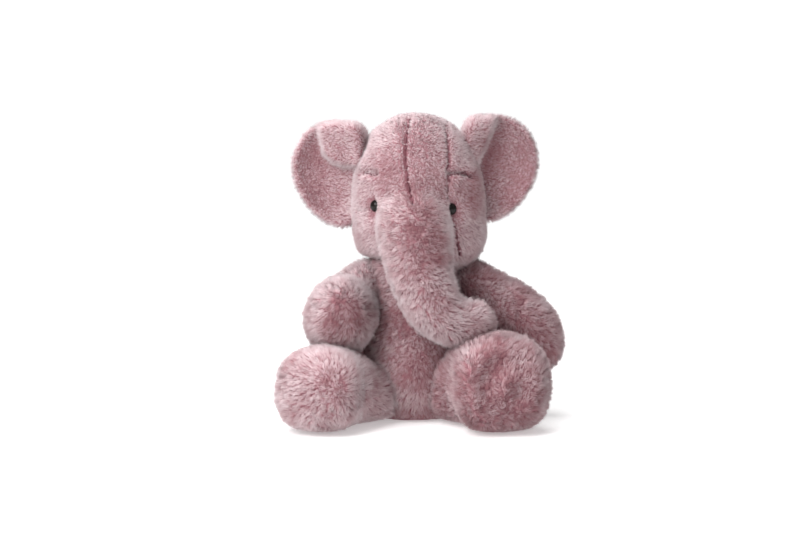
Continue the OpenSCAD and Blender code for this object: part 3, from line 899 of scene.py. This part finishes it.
def ear(name, side, root, crease, lobe, tilt):
    """Two layers that close round the rim, dished in front, their upper root folded forward."""
    rings, around = 22, 90
    half_thick, rim_thick, dish_depth, dish_rise = 4.9, 0.6, 7.0, 11.5
    fold_start, fold_end, puff, puff_reach = -1.5, 4.2, 5.0, 7
    closed = EAR_OUTLINE[-1:] + EAR_OUTLINE + EAR_OUTLINE[:2]
    rim = spline([(u, v, 0, 0, 0) for u, v in closed], around * 6)[:, :2]
    rim = rim[int(6 * around / (len(closed) - 1)):]
    rim = rim[:int(len(rim) * len(EAR_OUTLINE) / (len(EAR_OUTLINE) + 1))]
    rim = rim[np.linspace(0, len(rim) - 1, around + 1).astype(int)[:-1]]
    middle = np.array((22, 1))
    crease, lobe_edge = lobe_outline(crease)
    verts, faces = [], []
    for layer in (1, -1):
        for i in range(rings + 1):
            rho = i / rings
            for k in range(around):
                u, v = middle + (rim[k] - middle) * rho
                d = np.min(np.linalg.norm(crease - (u, v), axis=1))
                inside = within((u, v), lobe_edge)
                over = smoothstep(np.array(d if inside else -d), fold_start, fold_end)
                thick = half_thick * math.sqrt(max(0.0, 1 - rho ** 6)) + rim_thick
                dish = dish_depth - dish_rise * rho ** 3.2
                y = dish - layer * thick
                if layer == 1:
                    y -= float(over) * (lobe + puff * (1 - math.exp(-d / puff_reach))) * (1 - 0.5 * rho ** 8)
                verts.append((u, y, v))
    for layer in range(2):
        base = layer * (rings + 1) * around
        for i in range(rings):
            for k in range(around):
                n = (k + 1) % around
                a, b = base + i * around + k, base + i * around + n
                faces.append((a, b, b + around, a + around))
    edge_a, edge_b = rings * around, (2 * rings + 1) * around
    for k in range(around):
        n = (k + 1) % around
        faces.append((edge_a + k, edge_a + n, edge_b + n, edge_b + k))
    co = np.array(verts, float)
    co[:, 0] *= side
    angle = math.radians(tilt) * side
    turned = co.copy()
    turned[:, 0] = co[:, 0] * math.cos(angle) - co[:, 1] * math.sin(angle)
    turned[:, 1] = co[:, 0] * math.sin(angle) + co[:, 1] * math.cos(angle)
    mesh = mesh_from(name, (turned + np.array(root)) * MM, faces)
    obj = new_object(name, mesh)
    face_outward(mesh)
    return one_skin(obj, 1.6, 2)


EAR_ROOT_LEFT = (38, 5, 186)
EAR_ROOT_RIGHT = (-39.8, 5, 181.5)
CREASE_LEFT = [(23, 42), (20, 30), (15, 17), (10, 6), (4, -4), (-4, -12)]
CREASE_RIGHT = [(32, 38), (32, 26), (30, 14), (23, 7), (12, 4), (-4, 2)]
ear_left = ear("ear_left_skin", 1, EAR_ROOT_LEFT, CREASE_LEFT, 12.0, 4)
ear_right = ear("ear_right_skin", -1, EAR_ROOT_RIGHT, CREASE_RIGHT, 12.0, 7)

ARM_RIGHT = [
    (-22, 0, 99, 10, 10), (-33, -3, 99.5, 16, 17), (-41.5, -9, 94, 18, 18.5),
    (-48.5, -21, 86, 20, 21.5), (-54, -35, 81.5, 23.5, 26), (-55.5, -49, 79, 24, 27),
    (-54.5, -59, 76.5, 20.5, 23.5), (-53, -66, 74, 13.5, 15), (-52.5, -69, 73, 4, 4)]
ARM_LEFT = [
    (24, 0, 100, 10, 10), (36, -2, 100, 16.5, 17), (51, -4, 90.5, 18, 18.5), (68, -6, 79.8, 21, 20.8),
    (81.5, -9, 68, 22.3, 21.8), (88, -11, 57, 21, 20.8), (89.4, -14, 47, 16.8, 16.8),
    (89.2, -16, 40, 10, 10), (89, -17, 37.2, 4, 4)]
LEG_RIGHT = [
    (-14, -20, 22, 12, 15), (-28, -32, 21, 16.5, 19), (-42, -45, 23, 19.5, 22),
    (-54, -56, 27.5, 26, 27), (-64.3, -67, 29.5, 30.2, 29.7), (-69.5, -77, 30, 30.8, 30),
    (-73.5, -87, 30.2, 28.3, 27.6), (-76.5, -94.5, 31, 20.5, 20), (-78, -99, 31.5, 9, 8),
    (-78.3, -100, 31.5, 3, 3)]
LEG_LEFT = [
    (12, -20, 23, 12, 16), (24, -32, 23, 17, 20), (36, -45, 27, 21, 25.5),
    (46.5, -56, 32.5, 27.5, 31.5), (54.5, -66, 34.5, 32.6, 34.3), (59.5, -76, 34.5, 34.6, 34.8),
    (63, -86.5, 34, 32.8, 32.5), (66, -94.5, 34, 25, 25), (66.5, -99.5, 34.5, 11.5, 11.5),
    (66.8, -100.5, 34.5, 3, 3)]
TAIL = [
    (0, 34, 31, 3, 3), (0, 39, 30, 5, 5), (0, 46, 27, 5.2, 5.2), (0, 53, 20, 5, 5),
    (0, 58, 12, 4.4, 4.4), (0, 60, 8, 2.6, 2.6), (0, 61, 6.5, 0.8, 0.8)]
arm_right = one_skin(stuffed_tube("arm_right_skin", ARM_RIGHT, (0, 0, 1)), 2.2, 4)
arm_left = one_skin(stuffed_tube("arm_left_skin", ARM_LEFT, (0, 0, 1)), 2.2, 4)
leg_right = one_skin(stuffed_tube("leg_right_skin", LEG_RIGHT, (0, 0, 1), square=2.2), 2.4, 4)
leg_left = one_skin(stuffed_tube("leg_left_skin", LEG_LEFT, (0, 0, 1), square=2.5), 2.4, 4)
tail = one_skin(stuffed_tube("tail_skin_form", TAIL, (1, 0, 0)), 1.6, 2)

# seams: held while the skins swell, then pulled in
tree = surface(head)
SEAM_MIDDLE = on_front(tree, [(-5, 222), (-7.7, 211), (-8.4, 194), (-6.3, 176), (-3.4, 164)])
SEAM_LEFT = on_front(tree, [(21, 217), (23, 205), (22.9, 193), (23.5, 166)])
SEAM_RIGHT = on_front(tree, [(-29, 213), (-31, 203), (-31, 182), (-31, 168)])
CHEEK_LEFT = on_front(tree, [(27, 152), (29, 140), (32, 124)])
CHEEK_RIGHT = on_front(tree, [(-33, 153), (-35, 140), (-37, 127)])
BROW_LEFT = on_front(tree, [(24.5, 185), (31, 184.6), (37.5, 182.5), (41, 180.5)])
BROW_RIGHT = on_front(tree, [(-40.5, 183.5), (-36, 185.3), (-30, 184.2)])
NAPE = on_front(tree, [(0, 221), (1, 200), (1, 170), (1, 140), (1, 122)], -1)
NAPE_LEFT = on_front(tree, [(22, 216), (24, 190), (25, 165), (23, 135)], -1)
NAPE_RIGHT = on_front(tree, [(-22, 216), (-24, 190), (-25, 165), (-23, 135)], -1)
head_seams = [SEAM_MIDDLE, SEAM_LEFT, SEAM_RIGHT, CHEEK_LEFT, CHEEK_RIGHT, NAPE, NAPE_LEFT, NAPE_RIGHT]
plump(head, np.vstack(head_seams + [BROW_LEFT, BROW_RIGHT]), pressure=3.0, most=1.8)
for line, deep, wide in (
        (SEAM_MIDDLE, 1.8, 2.8), (SEAM_LEFT, 2.6, 3.0), (SEAM_RIGHT, 1.0, 3.4), (CHEEK_LEFT, 1.5, 3.5),
        (CHEEK_RIGHT, 0.6, 3.5), (NAPE, 1.3, 3.4), (NAPE_LEFT, 0.9, 3.4), (NAPE_RIGHT, 0.9, 3.4),
        (BROW_LEFT, 4.6, 2.8), (BROW_RIGHT, 5.0, 2.9)):
    dent(head, line, deep, wide)

# the pile puffs up above and below each brow tuck
for line in (BROW_LEFT, BROW_RIGHT):
    for way in (5 * MM, -5 * MM):
        dent(head, line + (0, 0, way), -1.3, 3.4)

for skin, rows in (
        (arm_right, ARM_RIGHT), (arm_left, ARM_LEFT), (leg_right, LEG_RIGHT), (leg_left, LEG_LEFT)):
    tree = surface(skin)
    seams = [on_skin(tree, line) for line in side_seams(rows, (0, 0, 1))]
    plump(skin, np.vstack(seams), pressure=4.0, most=2.0)
    for line in seams:
        dent(skin, line, 0.8, 3.5)
tree = surface(torso)
torso_sides = [on_skin(tree, line) for line in side_seams(TORSO, (0, -1, 0))]
BACK_SEAM = on_front(tree, [(0, 116), (0, 90), (0, 60), (0, 30), (0, 10)], -1)
plump(torso, np.vstack(torso_sides + [BACK_SEAM]), pressure=4.0, most=2.0)
for line in torso_sides + [BACK_SEAM]:
    dent(torso, line, 0.9, 3.5)

# what rests on the floor is flat there, before and after the stuffing makes it lumpy
for skin in (torso, leg_left, leg_right):
    rest_on_floor(skin)
for seed, skin in enumerate((torso, head, arm_left, arm_right, leg_left, leg_right)):
    lumpy(skin, size=26, high=1.1, seed=seed + 20)
    lumpy(skin, size=11, high=0.7, seed=seed + 40)
for skin in (torso, leg_left, leg_right):
    rest_on_floor(skin)

# eyes: a polished bead on a shank, sunk in the pile
EYE_DROP = {"eye_left": 3.0, "eye_right": 1.0}    # below the CAD's bead, in mm
tree = surface(head)
SOCKETS = {}
for name, drop in EYE_DROP.items():
    x, _, z = node_centre(name)[0] / MM
    SOCKETS[name] = on_front(tree, [(x, z - drop)])
for socket in SOCKETS.values():
    dent(head, socket, 3.2, 9)
# the pile is plump on either side of an eye, most towards the trunk
for name, inward in (("eye_left", -1), ("eye_right", 1)):
    socket = SOCKETS[name]
    rise = np.array([(0, 0, z * MM) for z in range(-8, 7)])
    dent(head, socket + rise + (6.5 * inward * MM, 0, 0), -2.2, 3.8)
    dent(head, socket + rise - (7.5 * inward * MM, 0, 0), -1.2, 3.8)
tree = surface(head)


def eye(name, drop):
    """A bead on its shank, set in the skin. Gives the ring where it meets the skin."""
    shank_radius, shank_length, sink, opening = 1.6 * MM, 8 * MM, 2.2 * MM, 2.6 * MM
    middle, low, high = node_centre(name)
    radius = (high[2] - low[2]) / 2
    at = Vector((middle[0], -0.3, middle[2] - drop * MM))
    hit, normal = tree.ray_cast(at, Vector((0, 1, 0)))[:2]
    work = bmesh.new()
    bmesh.ops.create_uvsphere(work, u_segments=48, v_segments=32, radius=radius)
    bmesh.ops.scale(work, vec=(1, 1, 0.8), verts=work.verts)
    bmesh.ops.create_cone(work, cap_ends=True, segments=20, radius1=shank_radius, radius2=shank_radius,
                          depth=shank_length, matrix=Matrix.Translation((0, 0, -6 * MM)))
    mesh = bpy.data.meshes.new(name + "_bead")
    work.to_mesh(mesh)
    work.free()
    obj = new_object(name + "_bead", mesh)
    facing = Vector((normal.x * 1.15, normal.y, normal.z * 0.4)).normalized()
    turn = facing.to_track_quat("Z", "Y").to_matrix()
    mesh.transform(Matrix.Translation(hit - facing * sink) @ turn.to_4x4())
    smooth_flat(mesh)
    mesh.materials.append(BEAD)
    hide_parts(name)
    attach(obj, "head")
    ring = []
    for k in range(25):
        a = 2 * math.pi * k / 24
        ring.append(hit + turn @ Vector((math.cos(a), math.sin(a), 0)) * opening)
    return np.array([tuple(p) for p in ring])


EYE_LEFT = eye("eye_left", EYE_DROP["eye_left"])
EYE_RIGHT = eye("eye_right", EYE_DROP["eye_right"])
for ring in (EYE_LEFT, EYE_RIGHT):
    dent(head, ring.mean(axis=0) + np.array([(0, 0, z * MM) for z in range(-4, 5)]), 2.0, 3.6)
# a crease under the right eye
dent(head, on_front(surface(head), [(-34, 158), (-39, 156), (-43, 155)]), 2.4, 2.8)

HEAD_PARTING = parting("head_parting", [SEAM_MIDDLE, SEAM_LEFT, CHEEK_LEFT, NAPE, NAPE_LEFT, NAPE_RIGHT],
                       (6, 9), [BROW_LEFT, BROW_RIGHT])


# ---------------------------------------------------------------- which way the pile runs

def head_nap(p):
    """Down the head and the trunk, and up again round the trunk's curled tip."""
    x, y, z = p / MM
    curl = float(smoothstep(np.array(96 - z), 0, 22)) if y < -40 else 0
    return (x / 60 + 1.3 * curl, 0.1, -1 + 0.9 * curl)


def floor_length(mesh):
    """Pile is pressed short where a piece sits on the floor."""
    z = points_of(mesh)[:, 2]
    return 0.3 + 0.7 * smoothstep(z, 0.5 * MM, 10 * MM)


def floor_density(mesh):
    """Pile is sparse where it can't be seen, against the floor."""
    z = points_of(mesh)[:, 2]
    return 0.15 + 0.85 * smoothstep(z, 0.3 * MM, 4 * MM)


def round_from(cx, cy, cz):
    """A nap that runs away from a point, in mm."""
    middle = np.array((cx, cy, cz)) * MM
    return lambda p: (p - middle) / np.linalg.norm(p - middle)


def ear_rim(skin):
    """How near each point of an ear's skin is to its rim, 0 to 1."""
    co = points_of(skin.data) / MM
    low, high = co.min(axis=0), co.max(axis=0)
    u, _, v = ((co - (low + high) / 2) / ((high - low) / 2)).T
    return smoothstep(np.hypot(u, v), 0.65, 0.95)


def spot(skin, middle, size):
    """1 at a point of the skin, fading to 0 at that distance from it, in mm."""
    return 1 - smoothstep(np.linalg.norm(points_of(skin.data) / MM - middle, axis=1), size * 0.3, size)


def fold_shade(skin, side, root, crease):
    """Darker pile down in the fold of an ear, painted shade where the lobe's shadow falls, and paler pile,
    painted light, on the lobe that overlaps it.
    """
    co = points_of(skin.data) / MM - root
    flat = np.stack([co[:, 0] * side, co[:, 2]], axis=1)
    line, edge = lobe_outline(crease)
    far = np.min(np.linalg.norm(flat[:, None, :] - line[None], axis=2), axis=1)
    lobe = np.array([within(p, edge) for p in flat])
    return np.where(lobe, 0.28, -0.55 * np.exp(-(far / 9) ** 2))


# painted shade: the torso's front, under the trunk and arms, is darker
flow(torso, lambda p: (2.5 * p[0], 0, -1), floor_length(torso.data), floor_density(torso.data), 1,
     -0.24 * (points_of(torso.data)[:, 1] < 0), ruffled=0.8)

# the head: short pile at the eyes and in the brow tucks, and painted shade on the backing in the seams
on_head = points_of(head.data)
_, y, z = on_head.T
on_trunk = smoothstep(-y, 44 * MM, 58 * MM)
on_cheeks = smoothstep(-z, -160 * MM, -125 * MM)
on_crown = smoothstep(z, 190 * MM, 215 * MM)
OVAL = np.array((1.25, 1, 0.72))    # the bare ring round an eye is higher than it is wide
to_eye = np.minimum(distance_to(on_head * OVAL, EYE_LEFT.mean(axis=0, keepdims=True) * OVAL),
                    distance_to(on_head * OVAL, EYE_RIGHT.mean(axis=0, keepdims=True) * OVAL))
to_seam = distance_to(on_head, np.vstack([SEAM_MIDDLE, SEAM_LEFT, CHEEK_LEFT, BROW_LEFT, BROW_RIGHT]))
to_brow = distance_to(on_head, np.vstack([BROW_LEFT, BROW_RIGHT]))
# painted shade on the backing, full at a seam or brow tuck and gone 2.2 mm from it
head.data.attributes.new("in_seam", "FLOAT", "POINT").data.foreach_set(
    "value", (1 - smoothstep(to_seam, 0.6 * MM, 2.2 * MM)).astype(np.float32))
head_length = 0.60 + 0.24 * on_trunk + 0.12 * on_cheeks
head_length *= 0.5 + 0.5 * smoothstep(to_eye, 3 * MM, 11 * MM)
head_length *= 0.35 + 0.65 * smoothstep(to_brow, 1 * MM, 6 * MM)
head_pale = 0.40 * (1 - on_trunk) + 0.28 * on_trunk
# darker patches, how much darker, the middle and the reach, in mm: painted shade on the head's side away from
# the key light, on the trunk's tip and on the upper trunk, and darker pile at the trunk's root and on the
# forehead
for darker, middle, reach in (
        (0.55, (7, -74, 136), 27), (0.25, (-8, -55, 152), 22), (0.45, (-30, -38, 192), 26),
        (0.9, (47, -14, 170), 30), (0.8, (54, -57, 84), 13)):
    head_pale -= darker * spot(head, middle, reach)
# the crown is paler, partly its own nap and partly painted light falling from above
head_pale += 0.45 * on_crown
# painted shade in the sockets round the eyes
head_pale -= 0.9 * (1 - smoothstep(to_eye, 3 * MM, 8.5 * MM))
flow(head, head_nap, head_length, smoothstep(to_eye, 2.2 * MM, 3.2 * MM), 2, head_pale, ruffled=0.55)

# painted light and shade on the ears: paler towards the rim, and the ear on the key light's side paler than
# the other
for side, skin, seed, root, crease, paler in (
        (1, ear_left, 3, EAR_ROOT_LEFT, CREASE_LEFT, 0.08),
        (-1, ear_right, 4, EAR_ROOT_RIGHT, CREASE_RIGHT, 0.40)):
    rim = ear_rim(skin)
    flow(skin, lambda p: (side, -0.2, (p[2] - 0.183) * 12), 0.58 + 0.20 * rim, 1.0, seed,
         0.34 * rim + fold_shade(skin, side, root, crease) + paler, ruffled=0.8)
# painted light and shade: the arm and leg on the key light's side are paler and those on the far side darker,
# the left leg darker still low at its inner front; the right arm is darker towards its end
flow(arm_right, lambda p: (-0.6, -0.5, -0.6), 1.0, 1.0, 5,
     0.36 - 0.6 * spot(arm_right, (-48, -72, 78), 28), ruffled=0.8)
flow(arm_left, lambda p: (0.7, -0.2, -0.7), 1.0, 1.0, 6, -0.22, ruffled=0.8)
flow(leg_right, round_from(-53, -86, 38), 0.9 * floor_length(leg_right.data),
     floor_density(leg_right.data), 7, 0.22, ruffled=1.3)
flow(leg_left, lambda p: (0.5, -0.3, 0.8), 0.9 * floor_length(leg_left.data),
     floor_density(leg_left.data), 8, -0.22 - 0.3 * spot(leg_left, (40, -92, 20), 26), ruffled=0.9)
flow(tail, lambda p: (0, 0.4, -1), 0.55, 1.0, 9)


def hide_pile(skin, others, deep=3.5):
    """No pile grows where a skin lies well inside another one."""
    mesh = skin.data
    co = points_of(mesh)
    density = np.zeros(len(co), np.float32)
    mesh.attributes["pile_density"].data.foreach_get("value", density)
    for other in others:
        inside = points_of(other.data)
        lows, highs = inside.min(axis=0), inside.max(axis=0)
        tree = surface(other)
        for i in np.nonzero(np.all((co > lows) & (co < highs), axis=1))[0]:
            hit, normal, _, far = tree.find_nearest(Vector(co[i]))
            if far > deep * MM and (Vector(co[i]) - hit).dot(normal) < 0:
                density[i] = 0
    mesh.attributes["pile_density"].data.foreach_set("value", density)


for skin, others in ((torso, (head, arm_left, arm_right)), (head, (ear_left, ear_right)),
                     (ear_left, (head,)), (ear_right, (head,)), (arm_left, (torso,)), (arm_right, (torso,)),
                     (leg_left, (torso,)), (leg_right, (torso,)), (tail, (torso,))):
    hide_pile(skin, others)


# ---------------------------------------------------------------- stitches and label

tree = surface(head)
# dark thread dashes along the head's seams stand for the shade in the seam creases: a painted shadow
sew("seam_stitches", [lifted(tree, line, 0.5) for line in (SEAM_MIDDLE, SEAM_LEFT, CHEEK_LEFT)], "head",
    (), 1, **{"Pitch": 7.4 * MM, "Stitch Length": 5.4 * MM, "Thread Width": 1.4 * MM})
sew("brow_stitches", [lifted(tree, line, 0.25) for line in (BROW_LEFT, BROW_RIGHT)], "head",
    ("brow_stitch_left", "brow_stitch_right"), 2,
    **{"Pitch": 3.0 * MM, "Stitch Length": 3.4 * MM, "Thread Width": 1.1 * MM})
tree = surface(torso)
sew("closing_seam", [lifted(tree, BACK_SEAM[12:-30], 0.6)], "torso", ("closing_stitches",), 3,
    **{"Pitch": 5.0 * MM, "Stitch Length": 5.0 * MM, "Thread Width": 1.0 * MM, "Turn Across": math.pi / 2})


def ribbon_label():
    """A blank woven ribbon, folded in two and caught in the side seam of the seat."""
    thick, bend, tucked_in, curl, sag = 0.45 * MM, 1.1 * MM, 4 * MM, 2.2 * MM, 1 * MM
    middle, low, high = node_centre("care_label")
    start, end, bottom, top = low[0] - tucked_in, high[0], low[2], high[2]
    outer = [(x, bend) for x in np.linspace(start, end - bend, 12)]
    outer += [(end - bend + bend * math.sin(a), bend * math.cos(a))
              for a in np.linspace(0, math.pi, 12)[1:-1]]
    outer += [(x, -bend) for x in np.linspace(end - bend, start, 12)]
    line = np.array(outer)
    away = np.gradient(line, axis=0)
    away = np.stack([-away[:, 1], away[:, 0]], axis=1)
    away /= np.linalg.norm(away, axis=1, keepdims=True)
    loop = np.vstack([line, (line + away * -thick)[::-1]])
    n, half, strips = len(loop), len(line), 8
    verts = []
    for k, h in enumerate(np.linspace(bottom, top, strips + 1)):
        for x, y in loop:
            out = (x - start) / (end - start)
            wave = curl * out * out * math.sin(3.0 * k / strips + 0.4)
            verts.append((x, y + middle[1] + wave, h - sag * out * out))
    faces = [(k * n + i, k * n + (i + 1) % n, (k + 1) * n + (i + 1) % n, (k + 1) * n + i)
             for k in range(strips) for i in range(n)]
    for k in (0, strips):
        faces += [(k * n + i, k * n + i + 1, k * n + n - 2 - i, k * n + n - 1 - i) for i in range(half - 1)]
    obj = new_object("ribbon_label", mesh_from("ribbon_label", verts, faces))
    face_outward(obj.data)
    smooth_flat(obj.data)
    obj.data.materials.append(RIBBON)
    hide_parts("care_label")
    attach(obj, "torso")


ribbon_label()


# ---------------------------------------------------------------- skins and piles on their bodies

trunk_bend = ("head", "trunk", (0, -0.045, 0.140), (0, -0.0603, 0.1305))
BODY = frame["record"]["behaviour"]["bodies"]
# each skin, the body that carries it (the head, with two bodies, is only baked in place), and the seams its
# pile parts along
plans = [
    ("torso", torso, "torso", parting("torso_parting", [BACK_SEAM])),
    ("head", head, trunk_bend, HEAD_PARTING),
    ("ear_left", ear_left, "ear_left", None),
    ("ear_right", ear_right, "ear_right", None),
    ("arm_left", arm_left, "arm_left", None),
    ("arm_right", arm_right, "arm_right", None),
    ("leg_left", leg_left, "leg_left", None),
    ("leg_right", leg_right, "leg_right", None),
    ("tail", tail, "tail", None),
]
# nodes that have a piece of their own, or that stay as the CAD has them
ALONE = {"eye_left", "eye_right", "eye_washer_left", "eye_washer_right", "pellets", "care_label",
         "brow_stitch_left", "brow_stitch_right", "closing_stitches"}
# the head and ears have finer, looser locks
FINE_PILE = {"Hairs per Square Metre": 2.7e6, "Locks per Square Metre": 3.4e5, "Lock Pull": 0.26,
             "Lean": 0.34}
SOLE = 30 * MM               # a leg's pile is in two pieces, above and below this height
for seed, (name, skin, body, seams) in enumerate(plans):
    co = points_of(skin.data)
    x, y, z = co.T
    if name == "head":
        # the trunk's pile starts at a plane across its root
        trunk_side = (-y * 0.85 - z * 0.53) / MM + 36 > 4
        parts = {"head_pile_left": (x >= 0) & ~trunk_side, "head_pile_right": (x < 0) & ~trunk_side,
                 "trunk_pile": trunk_side}
    elif name == "torso":
        parts = {"torso_pile_front": y < 0, "torso_pile_back": y >= 0}
    elif name.startswith("leg"):
        parts = {name + "_pile_upper": z >= SOLE, name + "_pile_under": z < SOLE}
    else:
        parts = {name + "_pile": np.ones(len(co), bool)}
    for k, (pile_name, mask) in enumerate(parts.items()):
        fine = name in ("head", "ear_left", "ear_right") and pile_name != "trunk_pile"
        sizes = FINE_PILE if fine else {}
        pile = grow_pile(pile_name, skin, mask.astype(float), seed * 7 + k, seams, **sizes)
        clad(pile, body)
    nodes = BODY[name] + (BODY["trunk"] if name == "head" else [])
    dressed(skin, body, [n for n in nodes if n not in ALONE])

# the neck's stuffing, inside the collar of the torso
collar = stuffed_tube("neck_stuffing", [
    (0, 0, 100, 10, 10), (0, 0, 108, 13, 13), (0, 0, 120, 13, 13), (0, 0, 132, 14, 14), (0, 0, 142, 8, 8),
    (0, 0, 144, 2, 2)], (0, -1, 0), sides=24, count=20)
collar.data.materials.append(BACKING)
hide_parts(*BODY["neck"])
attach(collar, "neck")

# ---------------------------------------------------------------- floor, light and camera

def floor_material():
    """White paper that glows, more brightly away from the toy, so that its edge melts into the backdrop: the
    glow is painted light.
    """
    mat, nodes, links, bsdf = shader("white_floor", Roughness=0.9, Base_Color=(0.86, 0.86, 0.86, 1),
                                     Specular_IOR_Level=0.0, Emission_Color=(1, 1, 1, 1))
    coords = nodes.new("ShaderNodeTexCoord")
    reach = nodes.new("ShaderNodeVectorMath")
    reach.operation = "LENGTH"
    links.new(coords.outputs["Object"], reach.inputs[0])
    glow = nodes.new("ShaderNodeMapRange")
    for key, value in (("From Min", 0.5), ("From Max", 2.5), ("To Min", 0.37), ("To Max", 0.74)):
        glow.inputs[key].default_value = value
    links.new(reach.outputs["Value"], glow.inputs["Value"])
    links.new(glow.outputs[0], bsdf.inputs["Emission Strength"])
    return mat


FLOOR_CORNERS = [(-4, -3, 0), (4, -3, 0), (4, 9, 0), (-4, 9, 0)]
floor = new_object("floor", mesh_from("floor", FLOOR_CORNERS, [(0, 1, 2, 3)]))
floor.data.materials.append(floor_material())

# the backdrop is bright to look at and lights the toy less
world = bpy.data.worlds.new("white_studio")
scene.world = world
world.use_nodes = True
background = world.node_tree.nodes["Background"]
background.inputs[0].default_value = (1, 1, 1, 1)
seen = world.node_tree.nodes.new("ShaderNodeLightPath")
level = world.node_tree.nodes.new("ShaderNodeMapRange")
level.inputs["To Min"].default_value = 0.36
level.inputs["To Max"].default_value = 1.05
world.node_tree.links.new(seen.outputs["Is Camera Ray"], level.inputs["Value"])
world.node_tree.links.new(level.outputs[0], background.inputs[1])


def area_light(name, place, aim, size, power):
    data = bpy.data.lights.new(name, "AREA")
    data.shape = "RECTANGLE"
    data.size, data.size_y = size
    data.energy = power
    obj = bpy.data.objects.new(name, data)
    scene.collection.objects.link(obj)
    obj.location = place
    obj.rotation_euler = (Vector(aim) - Vector(place)).to_track_quat("-Z", "Y").to_euler()
    return obj


# the key light stands on the toy's right, a weaker one in front of it, and one above
area_light("key_softbox", (-0.85, -1.05, 1.0), (0, 0, 0.11), (0.9, 0.9), 20.5)
area_light("front_softbox", (-0.6, -1.7, 0.45), (0, 0, 0.08), (1.3, 0.8), 5.6)
area_light("top_softbox", (-0.2, -0.1, 1.5), (0, 0, 0.1), (1.2, 1.2), 22)

camera_data = bpy.data.cameras.new("camera")
camera = bpy.data.objects.new("camera", camera_data)
scene.collection.objects.link(camera)
ELEVATION = math.radians(6)
DISTANCE = 1.5
aim = Vector((-0.0124, 0, 0.1116))
camera.location = aim + DISTANCE * Vector((0, -math.cos(ELEVATION), math.sin(ELEVATION)))
camera.rotation_euler = (aim - camera.location).to_track_quat("-Z", "Y").to_euler()
camera_data.sensor_width = 36
camera_data.lens = 90.1
scene.camera = camera

scene.view_settings.view_transform = "Standard"

# what only helped goes, and the parts hidden inside keep their CAD shapes with their own finish
for helper in HELPERS:
    bpy.data.objects.remove(helper)
for node, finish in (("eye_washer_left", WASHER), ("eye_washer_right", WASHER), ("pellets", PELLET)):
    frame["nodes"][node].data.materials.clear()
    frame["nodes"][node].data.materials.append(finish)
